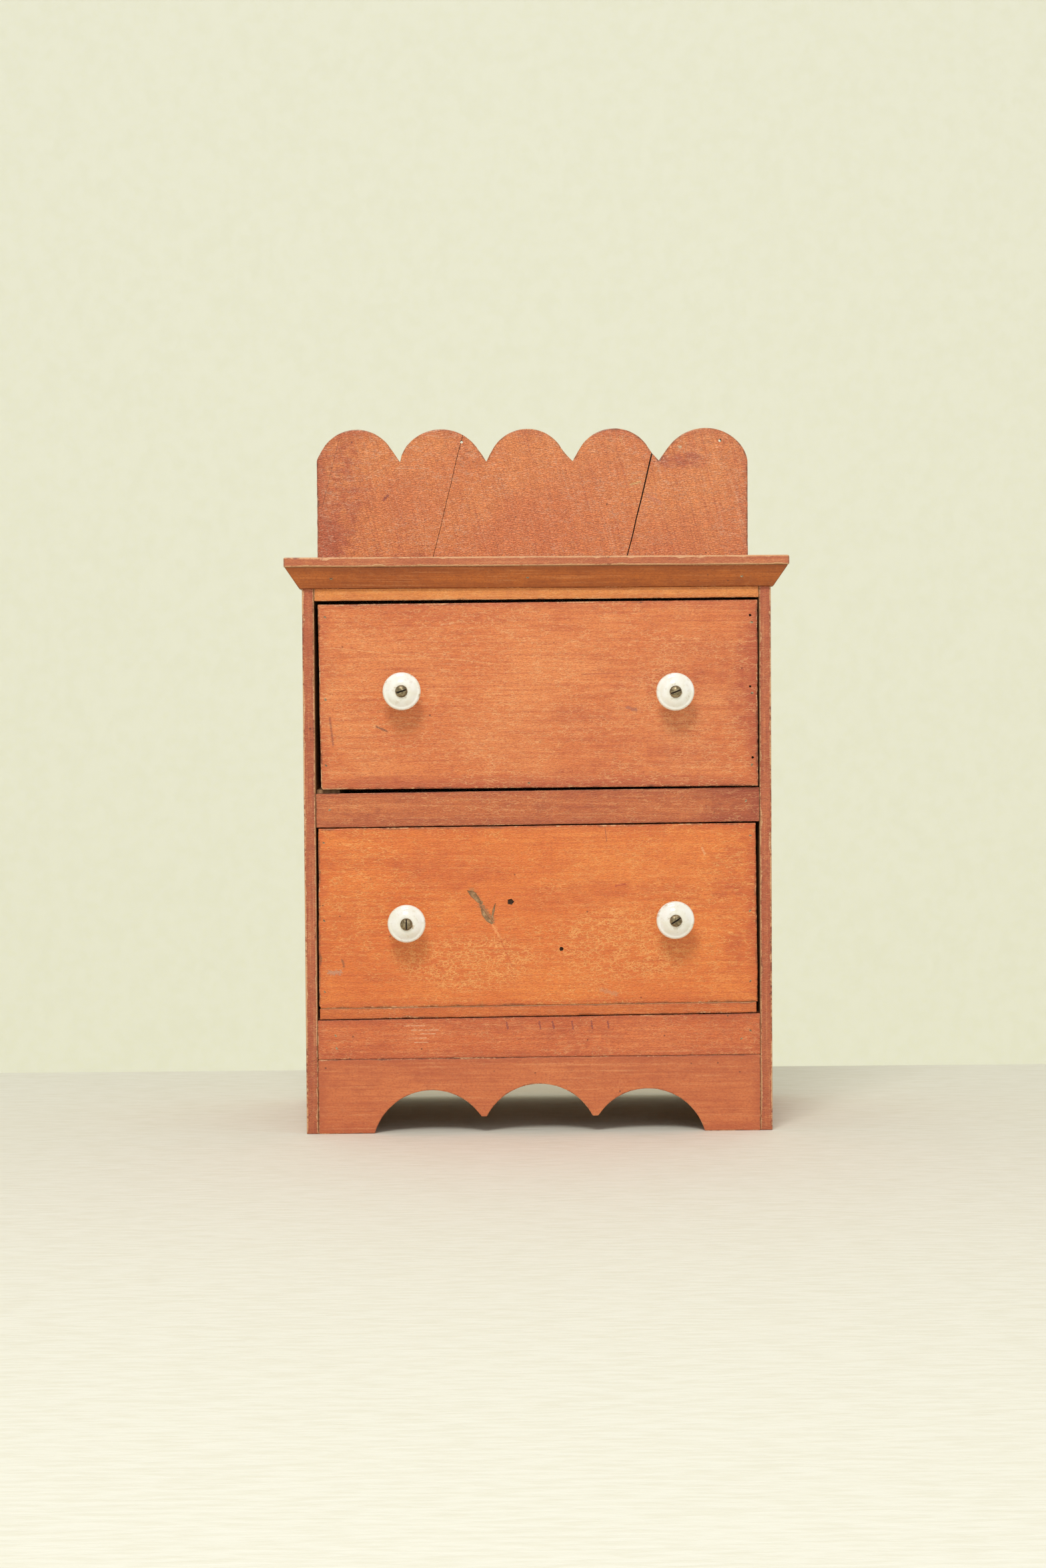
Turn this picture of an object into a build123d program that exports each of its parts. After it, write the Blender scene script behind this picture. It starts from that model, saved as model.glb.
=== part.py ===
"""A doll's chest of two drawers with a scalloped splashback and porcelain knobs.

Millimetres. X runs to the right, Y to the back and Z up. The origin is at the middle of the
footprint, on the floor. Rails and drawer fronts are a little out of level, as the hand-made
chest is: an edge is given as its height at the middle and its rise from left to right.
"""

import math
import os

from build123d import *

os.makedirs("parts", exist_ok=True)

# ---- Case
case_width = 314.0
side_depth = 171.0
side_height = 380.6
side_thick = 8.0
rail_thick = 9.0

# ---- Top board
top_thick = 6.4
top_side_overhang = 11.7
top_front_overhang = 13.0
top_corner_radius = 1.2

# ---- Bevelled moulding under the top board
moulding_height = 14.3
moulding_foot = 1.5  # how far it stands out at its lower edge
moulding_reach = 10.8  # how far it stands out at its upper edge

# ---- Front frame: widths at the middle, and rises from left to right
top_rail_width = 22.0
top_rail_rise = 0.8
middle_rail_width = 23.1
middle_rail_top_rise = 2.5
middle_rail_low_rise = 2.2
lower_opening = 129.4
bottom_rail_width = 27.3
bottom_rail_rise = 2.5
apron_height = 50.8
apron_rise = 1.3

# ---- Apron arches
foot_width = 38.0
cusp_width = 4.0
cusp_height = 10.8
middle_arch_width = 71.0
middle_arch_height = 32.7
side_arch_height = 28.9
arch_bend = 0.52  # the place of a side arch's crown, from the foot to the cusp

# ---- Back panel and its scalloped top
back_thick = 7.0
back_edge_inset = 0.8  # from the outer face of each side, before the shift
back_shift = 0.8  # the panel sits this far to the right of the middle
back_floor_gap = 14.0
splash_height = 98.8  # above the top board
lobe_shift = -2.1  # the notches sit this far to the left of even spacing
notch_depth = 23.4
left_shoulder_drop = 22.0
right_shoulder_drop = 24.0
crown_radii = (29.0, 32.0, 29.0, 29.0, 33.0)  # one for each lobe, from the left
crown_shifts = (-1.0, -1.5, -1.5, -1.0, 1.5)  # of each crown, from its lobe's middle
shoulder_width = 6.5  # from each end of a lobe to its crown arc, before the shift
splash_hole_radius = 1.1
splash_hole_drop = 9.3
left_hole_place = -50.4
right_hole_inset = 20.4

# ---- Drawer runners
runner_width = 16.0
upper_runner_height = 18.0
lower_runner_height = 22.0
slide_gap = 0.35

# ---- Drawers
drawer_front_thick = 9.0
drawer_side_thick = 8.0
drawer_back_thick = 7.0
drawer_bottom_thick = 7.3
drawer_side_drop = 3.0  # the sides stop this far below the front's upper edge
drawer_back_drop = 6.0
drawer_rear_gap = 0.6

# Gaps round each front, at its corners, and how its face stands in the case
upper_gaps = {"left_top": 2.3, "left_low": 3.4, "right_top": 1.0, "right_low": 0.8}
upper_top_gap = 1.8
upper_top_rise = 1.5
upper_low_gap = 1.7
upper_low_rise = 0.8
upper_left_proud = -0.6
upper_right_proud = 2.5
lower_gaps = {"left_top": 1.3, "left_low": 0.9, "right_top": 2.4, "right_low": 1.4}
lower_top_gap = 0.6
lower_top_rise = 1.9
lower_low_gap = 0.5
lower_low_rise = 2.5
lower_proud = 0.3
front_corner_radius = 1.5

# ---- Knobs and their screws
knob_radius = 12.7
knob_length = 19.0
knob_base_radius = 7.4
knob_neck_radius = 5.4
knob_face_flat = 4.4
knob_bore_clearance = 0.25
upper_knob_places = (-90.3, 91.8)
upper_knob_rises = (3.6, 1.4)  # above the middle of the front's height
lower_knob_places = (-88.4, 91.1)
lower_knob_rises = (-3.0, -3.3)
screw_head_radius = 4.1
screw_head_height = 2.8
screw_shank_radius = 2.1
screw_grip = 7.0  # how far the screw reaches into the front
screw_slot_width = 1.0
screw_slot_depth = 1.3
screw_tip_radius = 0.4
upper_slot_angles = (18.0, 20.0)
lower_slot_angles = (90.0, 33.0)

# ---- Nails
nail_head_radius = 1.1
nail_head_thick = 0.5
nail_radius = 0.7
nail_length = 19.0
nail_proud = 0.15
nail_edge = 12.0  # how far a row's first nail is from the end of a board
middle_nail_shift = -6.0
middle_rail_nail_rise = 5.0
# Nails in each end of a front: above its lower edge, from its middle, below its upper edge
upper_left_nails = (16.6, -1.4, 8.2)
upper_right_nails = (14.0, -0.4, 14.8)
lower_left_nails = (11.7, -1.0, 9.2)
lower_right_nails = (13.7, 0.8, 9.0)
# Nails in the bottom rail: side, shift from the runner's middle, distance below the upper edge
bottom_rail_nails = ((-1, 2.0, 10.6), (-1, 3.4, 18.7), (1, 3.0, 11.3), (1, -3.0, 17.5))

# ---- Places that follow from the sizes above
half_case = case_width / 2
half_inner = half_case - side_thick
inner_width = 2 * half_inner

drawer_depth = side_depth - drawer_rear_gap
front_span = inner_width - upper_gaps["left_low"] - upper_gaps["right_low"]
upper_skew = math.degrees(math.atan((upper_right_proud - upper_left_proud) / front_span))
face_slope = math.tan(math.radians(upper_skew))
mean_proud = (upper_left_proud + upper_right_proud) / 2
knob_reach = knob_length + screw_head_height
front_reach = mean_proud + upper_knob_places[1] * face_slope
front_reach = front_reach + knob_reach * math.cos(math.radians(upper_skew))
front_y = (front_reach - side_depth - back_thick) / 2
rail_back = front_y + rail_thick
back_y = front_y + side_depth
rear_y = back_y + back_thick
top_surface = side_height + top_thick
splash_top = top_surface + splash_height
back_width = case_width - 2 * back_edge_inset

# Slanted edges, as (height at the middle, rise)
apron_top = (apron_height, apron_rise)
bottom_rail_top = (apron_height + bottom_rail_width, bottom_rail_rise)
middle_rail_low = (bottom_rail_top[0] + lower_opening, middle_rail_low_rise)
middle_rail_top = (middle_rail_low[0] + middle_rail_width, middle_rail_top_rise)
top_rail_low = (side_height - top_rail_width, top_rail_rise)
lower_floor = (bottom_rail_top[0] + lower_low_gap, lower_low_rise)
lower_head = (middle_rail_low[0] - lower_top_gap, lower_top_rise)
upper_floor = (middle_rail_top[0] + upper_low_gap, upper_low_rise)
upper_head = (top_rail_low[0] - upper_top_gap, upper_top_rise)


def on_edge(edge, x):
    """Height at x of an edge given as (height at the middle, rise from side to side)."""
    middle, rise = edge
    return middle + rise * x / inner_width


def raised(edge, amount):
    """The same slanted edge, moved up."""
    return (edge[0] + amount, edge[1])


def outline(low, high, left, right):
    """Corners of an upright board between two slanted edges and two X places."""
    return (
        (left, on_edge(low, left)),
        (right, on_edge(low, right)),
        (right, on_edge(high, right)),
        (left, on_edge(high, left)),
    )


def along(start, end, count):
    """Evenly spaced places from start to end."""
    return [start + (end - start) * i / (count - 1) for i in range(count)]


# ---- Sides, plain boards down to the floor
for hand, sign in (("left", -1), ("right", 1)):
    with BuildPart() as side:
        with BuildSketch(Plane.YZ.offset(sign * half_inner)):
            Polygon(
                (front_y, 0), (back_y, 0), (back_y, side_height), (front_y, side_height)
            )
        extrude(amount=sign * side_thick)
    side.part.label = f"{hand}_side"
    export_step(side.part, f"parts/{hand}_side.step")


# ---- Top board, with its two front corners eased
with BuildPart() as top_board:
    top_half = half_case + top_side_overhang
    with BuildSketch(Plane.XY.offset(side_height)):
        with BuildLine():
            Polyline(
                (-top_half, front_y - top_front_overhang),
                (top_half, front_y - top_front_overhang),
                (top_half, back_y),
                (-top_half, back_y),
                close=True,
            )
        make_face()
    extrude(amount=top_thick)
    front_corners = top_board.edges().filter_by(Axis.Z).group_by(Axis.Y)[0]
    fillet(front_corners, radius=top_corner_radius)
top_board.part.label = "top_board"
export_step(top_board.part, "parts/top_board.step")


# ---- Moulding: one bevelled section, mitred where the front piece meets the two returns
moulding_low = side_height - moulding_height
bevel_section = (
    (0, moulding_low),
    (moulding_foot, moulding_low),
    (moulding_reach, side_height),
    (0, side_height),
)
left_mitre = Plane(origin=(-half_case, front_y, 0), z_dir=(-1, 1, 0))
right_mitre = Plane(origin=(half_case, front_y, 0), z_dir=(1, 1, 0))

with BuildPart() as front_moulding:
    with BuildSketch(Plane.YZ.offset(-half_case - moulding_reach)):
        Polygon(*[(front_y - out, up) for out, up in bevel_section])
    extrude(amount=case_width + 2 * moulding_reach)
    split(bisect_by=left_mitre, keep=Keep.BOTTOM)
    split(bisect_by=right_mitre, keep=Keep.BOTTOM)
front_moulding.part.label = "front_moulding"
export_step(front_moulding.part, "parts/front_moulding.step")

for hand, sign, mitre in (("left", -1, left_mitre), ("right", 1, right_mitre)):
    with BuildPart() as return_moulding:
        with BuildSketch(Plane.XZ.offset(-back_y)):
            Polygon(*[(sign * (half_case + out), up) for out, up in bevel_section])
        extrude(amount=side_depth + moulding_reach)
        split(bisect_by=mitre, keep=Keep.TOP)
    return_moulding.part.label = f"{hand}_moulding"
    export_step(return_moulding.part, f"parts/{hand}_moulding.step")


# ---- Rails between the sides, flush with their front edges
front_plane = Plane.XZ.offset(-front_y)
case_top = (side_height, 0.0)

with BuildPart() as top_rail:
    with BuildSketch(front_plane):
        Polygon(*outline(top_rail_low, case_top, -half_inner, half_inner))
    extrude(amount=-rail_thick)
top_rail.part.label = "top_rail"
export_step(top_rail.part, "parts/top_rail.step")

with BuildPart() as middle_rail:
    with BuildSketch(front_plane):
        Polygon(*outline(middle_rail_low, middle_rail_top, -half_inner, half_inner))
    extrude(amount=-rail_thick)
middle_rail.part.label = "middle_rail"
export_step(middle_rail.part, "parts/middle_rail.step")

with BuildPart() as bottom_rail:
    with BuildSketch(front_plane):
        Polygon(*outline(apron_top, bottom_rail_top, -half_inner, half_inner))
    extrude(amount=-rail_thick)
bottom_rail.part.label = "bottom_rail"
export_step(bottom_rail.part, "parts/bottom_rail.step")


# ---- Apron: three arches between two feet, with blunt points between the arches
foot = half_inner - foot_width
arch_edge = middle_arch_width / 2
cusp_outer = arch_edge + cusp_width
side_crown = foot + (cusp_outer - foot) * arch_bend

with BuildPart() as apron:
    with BuildSketch(front_plane):
        with BuildLine():
            Polyline((-foot, 0), (-half_inner, 0), (-half_inner, on_edge(apron_top, -half_inner)))
            Line(
                (-half_inner, on_edge(apron_top, -half_inner)),
                (half_inner, on_edge(apron_top, half_inner)),
            )
            Polyline((half_inner, on_edge(apron_top, half_inner)), (half_inner, 0), (foot, 0))
            ThreePointArc((foot, 0), (side_crown, side_arch_height), (cusp_outer, cusp_height))
            Line((cusp_outer, cusp_height), (arch_edge, cusp_height))
            ThreePointArc(
                (arch_edge, cusp_height), (0, middle_arch_height), (-arch_edge, cusp_height)
            )
            Line((-arch_edge, cusp_height), (-cusp_outer, cusp_height))
            ThreePointArc((-cusp_outer, cusp_height), (-side_crown, side_arch_height), (-foot, 0))
        make_face()
    extrude(amount=-rail_thick)
apron.part.label = "apron"
export_step(apron.part, "parts/apron.step")


# ---- Back panel: plain below, a row of lobes above, each a round crown with two steep shoulders
back_left = back_shift - back_width / 2
back_right = back_shift + back_width / 2
lobe_count = len(crown_radii)
lobe_pitch = back_width / lobe_count
notches = [back_left + lobe_pitch * i + lobe_shift for i in range(1, lobe_count)]
lobe_ends = [back_left] + notches + [back_right]
lobe_feet = [splash_top - notch_depth] * (lobe_count + 1)
lobe_feet[0] = splash_top - left_shoulder_drop
lobe_feet[-1] = splash_top - right_shoulder_drop

with BuildPart() as back_panel:
    with BuildSketch(Plane.XZ.offset(-back_y)):
        for i in range(lobe_count):
            start = (lobe_ends[i], lobe_feet[i])
            end = (lobe_ends[i + 1], lobe_feet[i + 1])
            crown = (start[0] + end[0]) / 2 + crown_shifts[i]
            crown_half = min((end[0] - start[0]) / 2 - shoulder_width, 0.9 * crown_radii[i])
            crown_rise = math.sqrt(crown_radii[i] ** 2 - crown_half**2)
            crown_end = splash_top - crown_radii[i] + crown_rise
            crown_left = (crown - crown_half, crown_end)
            crown_right = (crown + crown_half, crown_end)
            with BuildLine():
                TangentArc(crown_left, start, tangent=(-crown_rise, -crown_half))
                ThreePointArc(crown_left, (crown, splash_top), crown_right)
                TangentArc(crown_right, end, tangent=(crown_rise, -crown_half))
                Polyline(end, (end[0], back_floor_gap), (start[0], back_floor_gap), start)
            make_face()
        hole_height = splash_top - splash_hole_drop
        with Locations((left_hole_place, hole_height), (back_right - right_hole_inset, hole_height)):
            Circle(splash_hole_radius, mode=Mode.SUBTRACT)
    extrude(amount=-back_thick)
back_panel.part.label = "back_panel"
export_step(back_panel.part, "parts/back_panel.step")


# ---- Runners: strips on the inner faces of the sides, a little under each drawer
runner_rows = (("upper", upper_floor, upper_runner_height), ("lower", lower_floor, lower_runner_height))
for level, floor, height in runner_rows:
    for hand, sign in (("left", -1), ("right", 1)):
        wall = sign * half_inner
        inner = sign * (half_inner - runner_width)
        runner_top = min(on_edge(floor, wall), on_edge(floor, inner)) - slide_gap
        with BuildPart() as runner:
            with BuildSketch(Plane.XZ.offset(-rail_back)):
                Polygon(
                    (wall, runner_top),
                    (inner, runner_top),
                    (inner, runner_top - height),
                    (wall, runner_top - height),
                )
            extrude(amount=rail_back - back_y)
        runner.part.label = f"{level}_{hand}_runner"
        export_step(runner.part, f"parts/{level}_{hand}_runner.step")


# ---- Nails: a flat head on a thin shank, driven along a given direction
def nail_body():
    """One nail along +Z, its head's face at the origin and its shank below."""
    with BuildPart(mode=Mode.PRIVATE) as nail:
        with BuildSketch(Plane.XY):
            Circle(nail_head_radius)
        extrude(amount=-nail_head_thick)
        with BuildSketch(Plane.XY):
            Circle(nail_radius)
        extrude(amount=-nail_length)
    return nail.part


def nail_group(name, seats):
    """Drive one nail at each seat, a (point, outward direction) pair, and write them as a node."""
    one_nail = nail_body()
    with BuildPart() as nails:
        for point, outward in seats:
            head = Plane(origin=point, z_dir=outward)
            add(head.offset(nail_proud) * one_nail)
    nails.part.label = name
    export_step(nails.part, f"parts/{name}.step")


to_front, to_back = (0, -1, 0), (0, 1, 0)
to_left, to_right, to_top, to_floor = (-1, 0, 0), (1, 0, 0), (0, 0, 1), (0, 0, -1)
hands = ((-1, to_left), (1, to_right))
runner_nail_x = half_inner - runner_width * 0.6

middle_rail_nail = (middle_rail_low[0] + middle_rail_width / 2 + 1.4, middle_rail_nail_rise)
nail_group(
    "rail_nails",
    [((x, front_y, on_edge(middle_rail_nail, x)), to_front) for x in (-runner_nail_x, runner_nail_x)]
    + [
        (
            (sign * runner_nail_x + shift, front_y, on_edge(bottom_rail_top, sign * half_inner) - drop),
            to_front,
        )
        for sign, shift, drop in bottom_rail_nails
    ],
)

bevel_out = (moulding_foot + moulding_reach) / 2
moulding_nail_z = side_height - moulding_height / 2
nail_group(
    "moulding_nails",
    [
        ((x, front_y - bevel_out, moulding_nail_z), to_front)
        for x in (-half_inner + nail_edge, middle_nail_shift, half_inner - nail_edge)
    ]
    + [
        ((sign * (half_case + bevel_out), y, moulding_nail_z), outward)
        for sign, outward in hands
        for y in (front_y + 2 * nail_edge, back_y - 2 * nail_edge)
    ],
)

side_middle = half_case - side_thick / 2
nail_group(
    "top_nails",
    [
        ((sign * side_middle, y, top_surface - nail_proud), to_top)
        for sign in (-1, 1)
        for y in along(front_y + 3 * nail_edge, back_y - 3 * nail_edge, 3)
    ]
    + [
        ((sign * half_inner / 2, front_y + rail_thick / 2, top_surface - nail_proud), to_top)
        for sign in (-1, 1)
    ],
)

nail_group(
    "back_nails",
    [
        ((sign * side_middle, rear_y - nail_proud, z), to_back)
        for sign in (-1, 1)
        for z in along(back_floor_gap + nail_edge, side_height - nail_edge, 5)
    ]
    + [
        ((x, rear_y - nail_proud, side_height + top_thick / 2), to_back)
        for x in along(-half_case + nail_edge, half_case - nail_edge, 4)
    ],
)

nail_group(
    "side_nails",
    [
        ((sign * half_case, front_y + rail_thick / 2, z), outward)
        for sign, outward in hands
        for z in (apron_height - nail_edge, apron_height / 2, side_height - moulding_height - 2.5)
    ],
)

nail_group(
    "runner_nails",
    [
        (
            (sign * (half_inner - runner_width), y, on_edge(floor, sign * half_inner) - height / 2),
            (-sign, 0, 0),
        )
        for _, floor, height in runner_rows
        for sign in (-1, 1)
        for y in along(rail_back + 2 * nail_edge, back_y - 2 * nail_edge, 3)
    ],
)


# ---- Drawers
def face_plane(skew, proud):
    """The plane of a drawer front's face: local X to the right, local Y up, its normal outward."""
    turn = math.radians(skew)
    return Plane(
        origin=(0, front_y - proud, 0),
        x_dir=(math.cos(turn), -math.sin(turn), 0),
        z_dir=(-math.sin(turn), -math.cos(turn), 0),
    )


def make_drawer(level, floor, head, gaps, skew, proud, covered, end_nails):
    """Write a drawer's five boards and return its nails' seats.

    Args:
        level: "upper" or "lower".
        floor, head: the slanted lower and upper edges of the whole drawer.
        gaps: the gaps at the front's corners, to the case's sides.
        skew, proud: the turn of the front's face, and how far its middle stands out.
        covered: True where the front covers the bottom board's edge.
        end_nails: the nails in the front's left end and in its right end.
    """
    face = face_plane(skew, proud)
    rear_face = face.offset(-drawer_front_thick)
    floor_top = raised(floor, drawer_bottom_thick)
    front_low = floor if covered else floor_top
    side_head = raised(head, -drawer_side_drop)
    back_head = raised(head, -drawer_back_drop)
    box_left = max(gaps["left_top"], gaps["left_low"]) - half_inner
    box_right = half_inner - max(gaps["right_top"], gaps["right_low"])
    drawer_rear = front_y + drawer_depth
    corners = (
        (gaps["left_low"] - half_inner, front_low),
        (half_inner - gaps["right_low"], front_low),
        (half_inner - gaps["right_top"], head),
        (gaps["left_top"] - half_inner, head),
    )

    with BuildPart() as front:
        with BuildSketch(face):
            Polygon(*[(x, on_edge(edge, x)) for x, edge in corners])
            fillet(front_low_corner(vertices()), radius=front_corner_radius)
        extrude(amount=-drawer_front_thick)
    front.part.label = f"{level}_drawer_front"
    export_step(front.part, f"parts/{level}_drawer_front.step")

    for hand, wall, inner in (
        ("left", box_left, box_left + drawer_side_thick),
        ("right", box_right, box_right - drawer_side_thick),
    ):
        with BuildPart() as wall_board:
            with BuildSketch(Plane.XZ.offset(-drawer_rear)):
                Polygon(*outline(floor_top, side_head, min(wall, inner), max(wall, inner)))
            extrude(amount=side_depth)
            split(bisect_by=rear_face, keep=Keep.BOTTOM)
        wall_board.part.label = f"{level}_drawer_{hand}"
        export_step(wall_board.part, f"parts/{level}_drawer_{hand}.step")

    inner_left = box_left + drawer_side_thick
    inner_right = box_right - drawer_side_thick
    with BuildPart() as back:
        with BuildSketch(Plane.XZ.offset(-drawer_rear)):
            Polygon(*outline(floor_top, back_head, inner_left, inner_right))
        extrude(amount=drawer_back_thick)
    back.part.label = f"{level}_drawer_back"
    export_step(back.part, f"parts/{level}_drawer_back.step")

    with BuildPart() as bottom:
        with BuildSketch(Plane.XZ.offset(-drawer_rear)):
            Polygon(*outline(floor, floor_top, box_left, box_right))
        extrude(amount=side_depth)
        split(bisect_by=rear_face if covered else face, keep=Keep.BOTTOM)
    bottom.part.label = f"{level}_drawer_bottom"
    export_step(bottom.part, f"parts/{level}_drawer_bottom.step")

    # Nails: three in each end of the front, two through each side into the back, and a row
    # up through the bottom into each side
    seats = []
    side_middles = (box_left + drawer_side_thick / 2, box_right - drawer_side_thick / 2)
    for x, (above, shift, below) in zip(side_middles, end_nails):
        low, high = on_edge(front_low, x), on_edge(head, x)
        heights = (low + above, (low + high) / 2 + shift, high - below)
        seats += [(face.from_local_coords((x, z, 0)), face.z_dir) for z in heights]
    if covered:
        edge_height = on_edge(floor, middle_nail_shift) + drawer_bottom_thick / 2
        seats.append((face.from_local_coords((middle_nail_shift, edge_height, 0)), face.z_dir))
    for x, outward in ((box_left, to_left), (box_right, to_right)):
        low = on_edge(floor_top, x) + nail_edge
        high = on_edge(back_head, x) - nail_edge
        seats += [((x, drawer_rear - drawer_back_thick / 2, z), outward) for z in (low, high)]
    for x in side_middles:
        row = along(front_y + drawer_front_thick + nail_edge, drawer_rear - nail_edge, 3)
        seats += [((x, y, on_edge(floor, x) + nail_proud), to_floor) for y in row]
    return seats


def front_low_corner(corners):
    """The corner of a front nearest its lower left."""
    return corners.sort_by(lambda corner: corner.X + corner.Y)[0]


def knob_axis(face, place, height):
    """The plane of a knob's half section: local X is its radius, local Y is out of the face."""
    return Plane(
        origin=face.from_local_coords((place, height, 0)), x_dir=face.x_dir, z_dir=(0, 0, -1)
    )


def make_knobs(level, face, floor, head, places, rises, slot_angles):
    """Write a drawer's two porcelain knobs and the pair of slotted screws that hold them."""
    bore = screw_shank_radius + knob_bore_clearance
    rim = knob_length * 0.76
    sections = [
        knob_axis(face, place, (on_edge(floor, place) + on_edge(head, place)) / 2 + rise)
        for place, rise in zip(places, rises)
    ]
    for hand, section in zip(("left", "right"), sections):
        with BuildPart() as knob:
            with BuildSketch(section):
                with BuildLine():
                    Polyline((bore, knob_length), (bore, 0), (knob_base_radius, 0))
                    Line((knob_base_radius, 0), (knob_base_radius, 1.5))
                    Spline(
                        (knob_base_radius, 1.5),
                        (knob_neck_radius, knob_length * 0.3),
                        (knob_radius, rim),
                        tangents=((-0.6, 1), (0, 1)),
                    )
                    Spline(
                        (knob_radius, rim),
                        (knob_face_flat, knob_length),
                        tangents=((0, 1), (-1, 0)),
                    )
                    Line((knob_face_flat, knob_length), (bore, knob_length))
                make_face()
            revolve(axis=Axis(section.origin, face.z_dir))
        knob.part.label = f"{level}_{hand}_knob"
        export_step(knob.part, f"parts/{level}_{hand}_knob.step")

    with BuildPart() as screws:
        for section, angle in zip(sections, slot_angles):
            tip = knob_length + screw_head_height
            with BuildSketch(section):
                with BuildLine():
                    Polyline(
                        (screw_tip_radius, tip),
                        (0, tip),
                        (0, -screw_grip),
                        (screw_tip_radius, -screw_grip),
                        (screw_shank_radius, 4 * screw_tip_radius - screw_grip),
                    )
                    Polyline(
                        (screw_shank_radius, 4 * screw_tip_radius - screw_grip),
                        (screw_shank_radius, knob_length),
                        (screw_head_radius, knob_length),
                    )
                    TangentArc(
                        (screw_tip_radius, tip), (screw_head_radius, knob_length), tangent=(1, 0)
                    )
                make_face()
            revolve(axis=Axis(section.origin, face.z_dir))
            slot_origin = section.origin + face.z_dir * tip
            slot = Plane(origin=slot_origin, x_dir=face.x_dir, z_dir=face.z_dir)
            with BuildSketch(slot.rotated((0, 0, angle))):
                Rectangle(3 * screw_head_radius, screw_slot_width)
            extrude(amount=-screw_slot_depth, mode=Mode.SUBTRACT)
    screws.part.label = f"{level}_knob_screws"
    export_step(screws.part, f"parts/{level}_knob_screws.step")


upper_seats = make_drawer(
    "upper",
    upper_floor,
    upper_head,
    upper_gaps,
    upper_skew,
    mean_proud,
    covered=True,
    end_nails=(upper_left_nails, upper_right_nails),
)
lower_seats = make_drawer(
    "lower",
    lower_floor,
    lower_head,
    lower_gaps,
    0.0,
    lower_proud,
    covered=False,
    end_nails=(lower_left_nails, lower_right_nails),
)
nail_group("upper_drawer_nails", upper_seats)
nail_group("lower_drawer_nails", lower_seats)

make_knobs(
    "upper",
    face_plane(upper_skew, mean_proud),
    upper_floor,
    upper_head,
    upper_knob_places,
    upper_knob_rises,
    upper_slot_angles,
)
make_knobs(
    "lower",
    face_plane(0.0, lower_proud),
    raised(lower_floor, drawer_bottom_thick),
    lower_head,
    lower_knob_places,
    lower_knob_rises,
    lower_slot_angles,
)
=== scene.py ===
import logging
import math
from dataclasses import dataclass, field
from enum import Enum

import bmesh
import bpy
import numpy as np
from mathutils import Matrix, Vector, noise


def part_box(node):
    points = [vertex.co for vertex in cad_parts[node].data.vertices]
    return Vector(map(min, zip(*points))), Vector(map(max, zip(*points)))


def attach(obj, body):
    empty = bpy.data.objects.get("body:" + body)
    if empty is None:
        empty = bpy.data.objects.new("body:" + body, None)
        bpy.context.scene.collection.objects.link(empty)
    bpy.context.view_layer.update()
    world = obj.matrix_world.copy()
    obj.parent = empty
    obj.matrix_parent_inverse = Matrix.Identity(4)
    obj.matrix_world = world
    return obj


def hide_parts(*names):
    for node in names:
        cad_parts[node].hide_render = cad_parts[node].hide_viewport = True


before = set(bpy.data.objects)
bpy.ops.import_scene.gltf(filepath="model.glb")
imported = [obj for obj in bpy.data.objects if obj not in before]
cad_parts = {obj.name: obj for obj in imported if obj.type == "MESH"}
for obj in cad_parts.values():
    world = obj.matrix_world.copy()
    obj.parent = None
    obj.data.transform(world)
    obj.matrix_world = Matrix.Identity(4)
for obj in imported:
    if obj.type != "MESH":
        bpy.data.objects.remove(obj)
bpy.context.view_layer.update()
LOG = logging.getLogger("chest")
MM = 0.001
FORWARD = Vector((0.0, -1.0, 0.0))
UPWARD = Vector((0.0, 0.0, 1.0))
LEFTWARD = Vector((-1.0, 0.0, 0.0))
RIGHTWARD = Vector((1.0, 0.0, 0.0))
BACKWARD = Vector((0.0, 1.0, 0.0))
SHARP_ANGLE = math.radians(38)
CORNER_ANGLE = math.radians(24)


# ---------------------------------------------------------------- shader maths


def tint(red: int, green: int, blue: int) -> tuple[float, float, float, float]:
    """A paint chip's 0 to 255 colour as a linear colour with alpha.

    Args:
        red: the chip's red.
        green: the chip's green.
        blue: the chip's blue.

    Returns:
        The linear colour.
    """
    shares = (red / 255, green / 255, blue / 255)
    linear = [s / 12.92 if s <= 0.04045 else ((s + 0.055) / 1.055) ** 2.4 for s in shares]
    return (*linear, 1.0)


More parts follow.
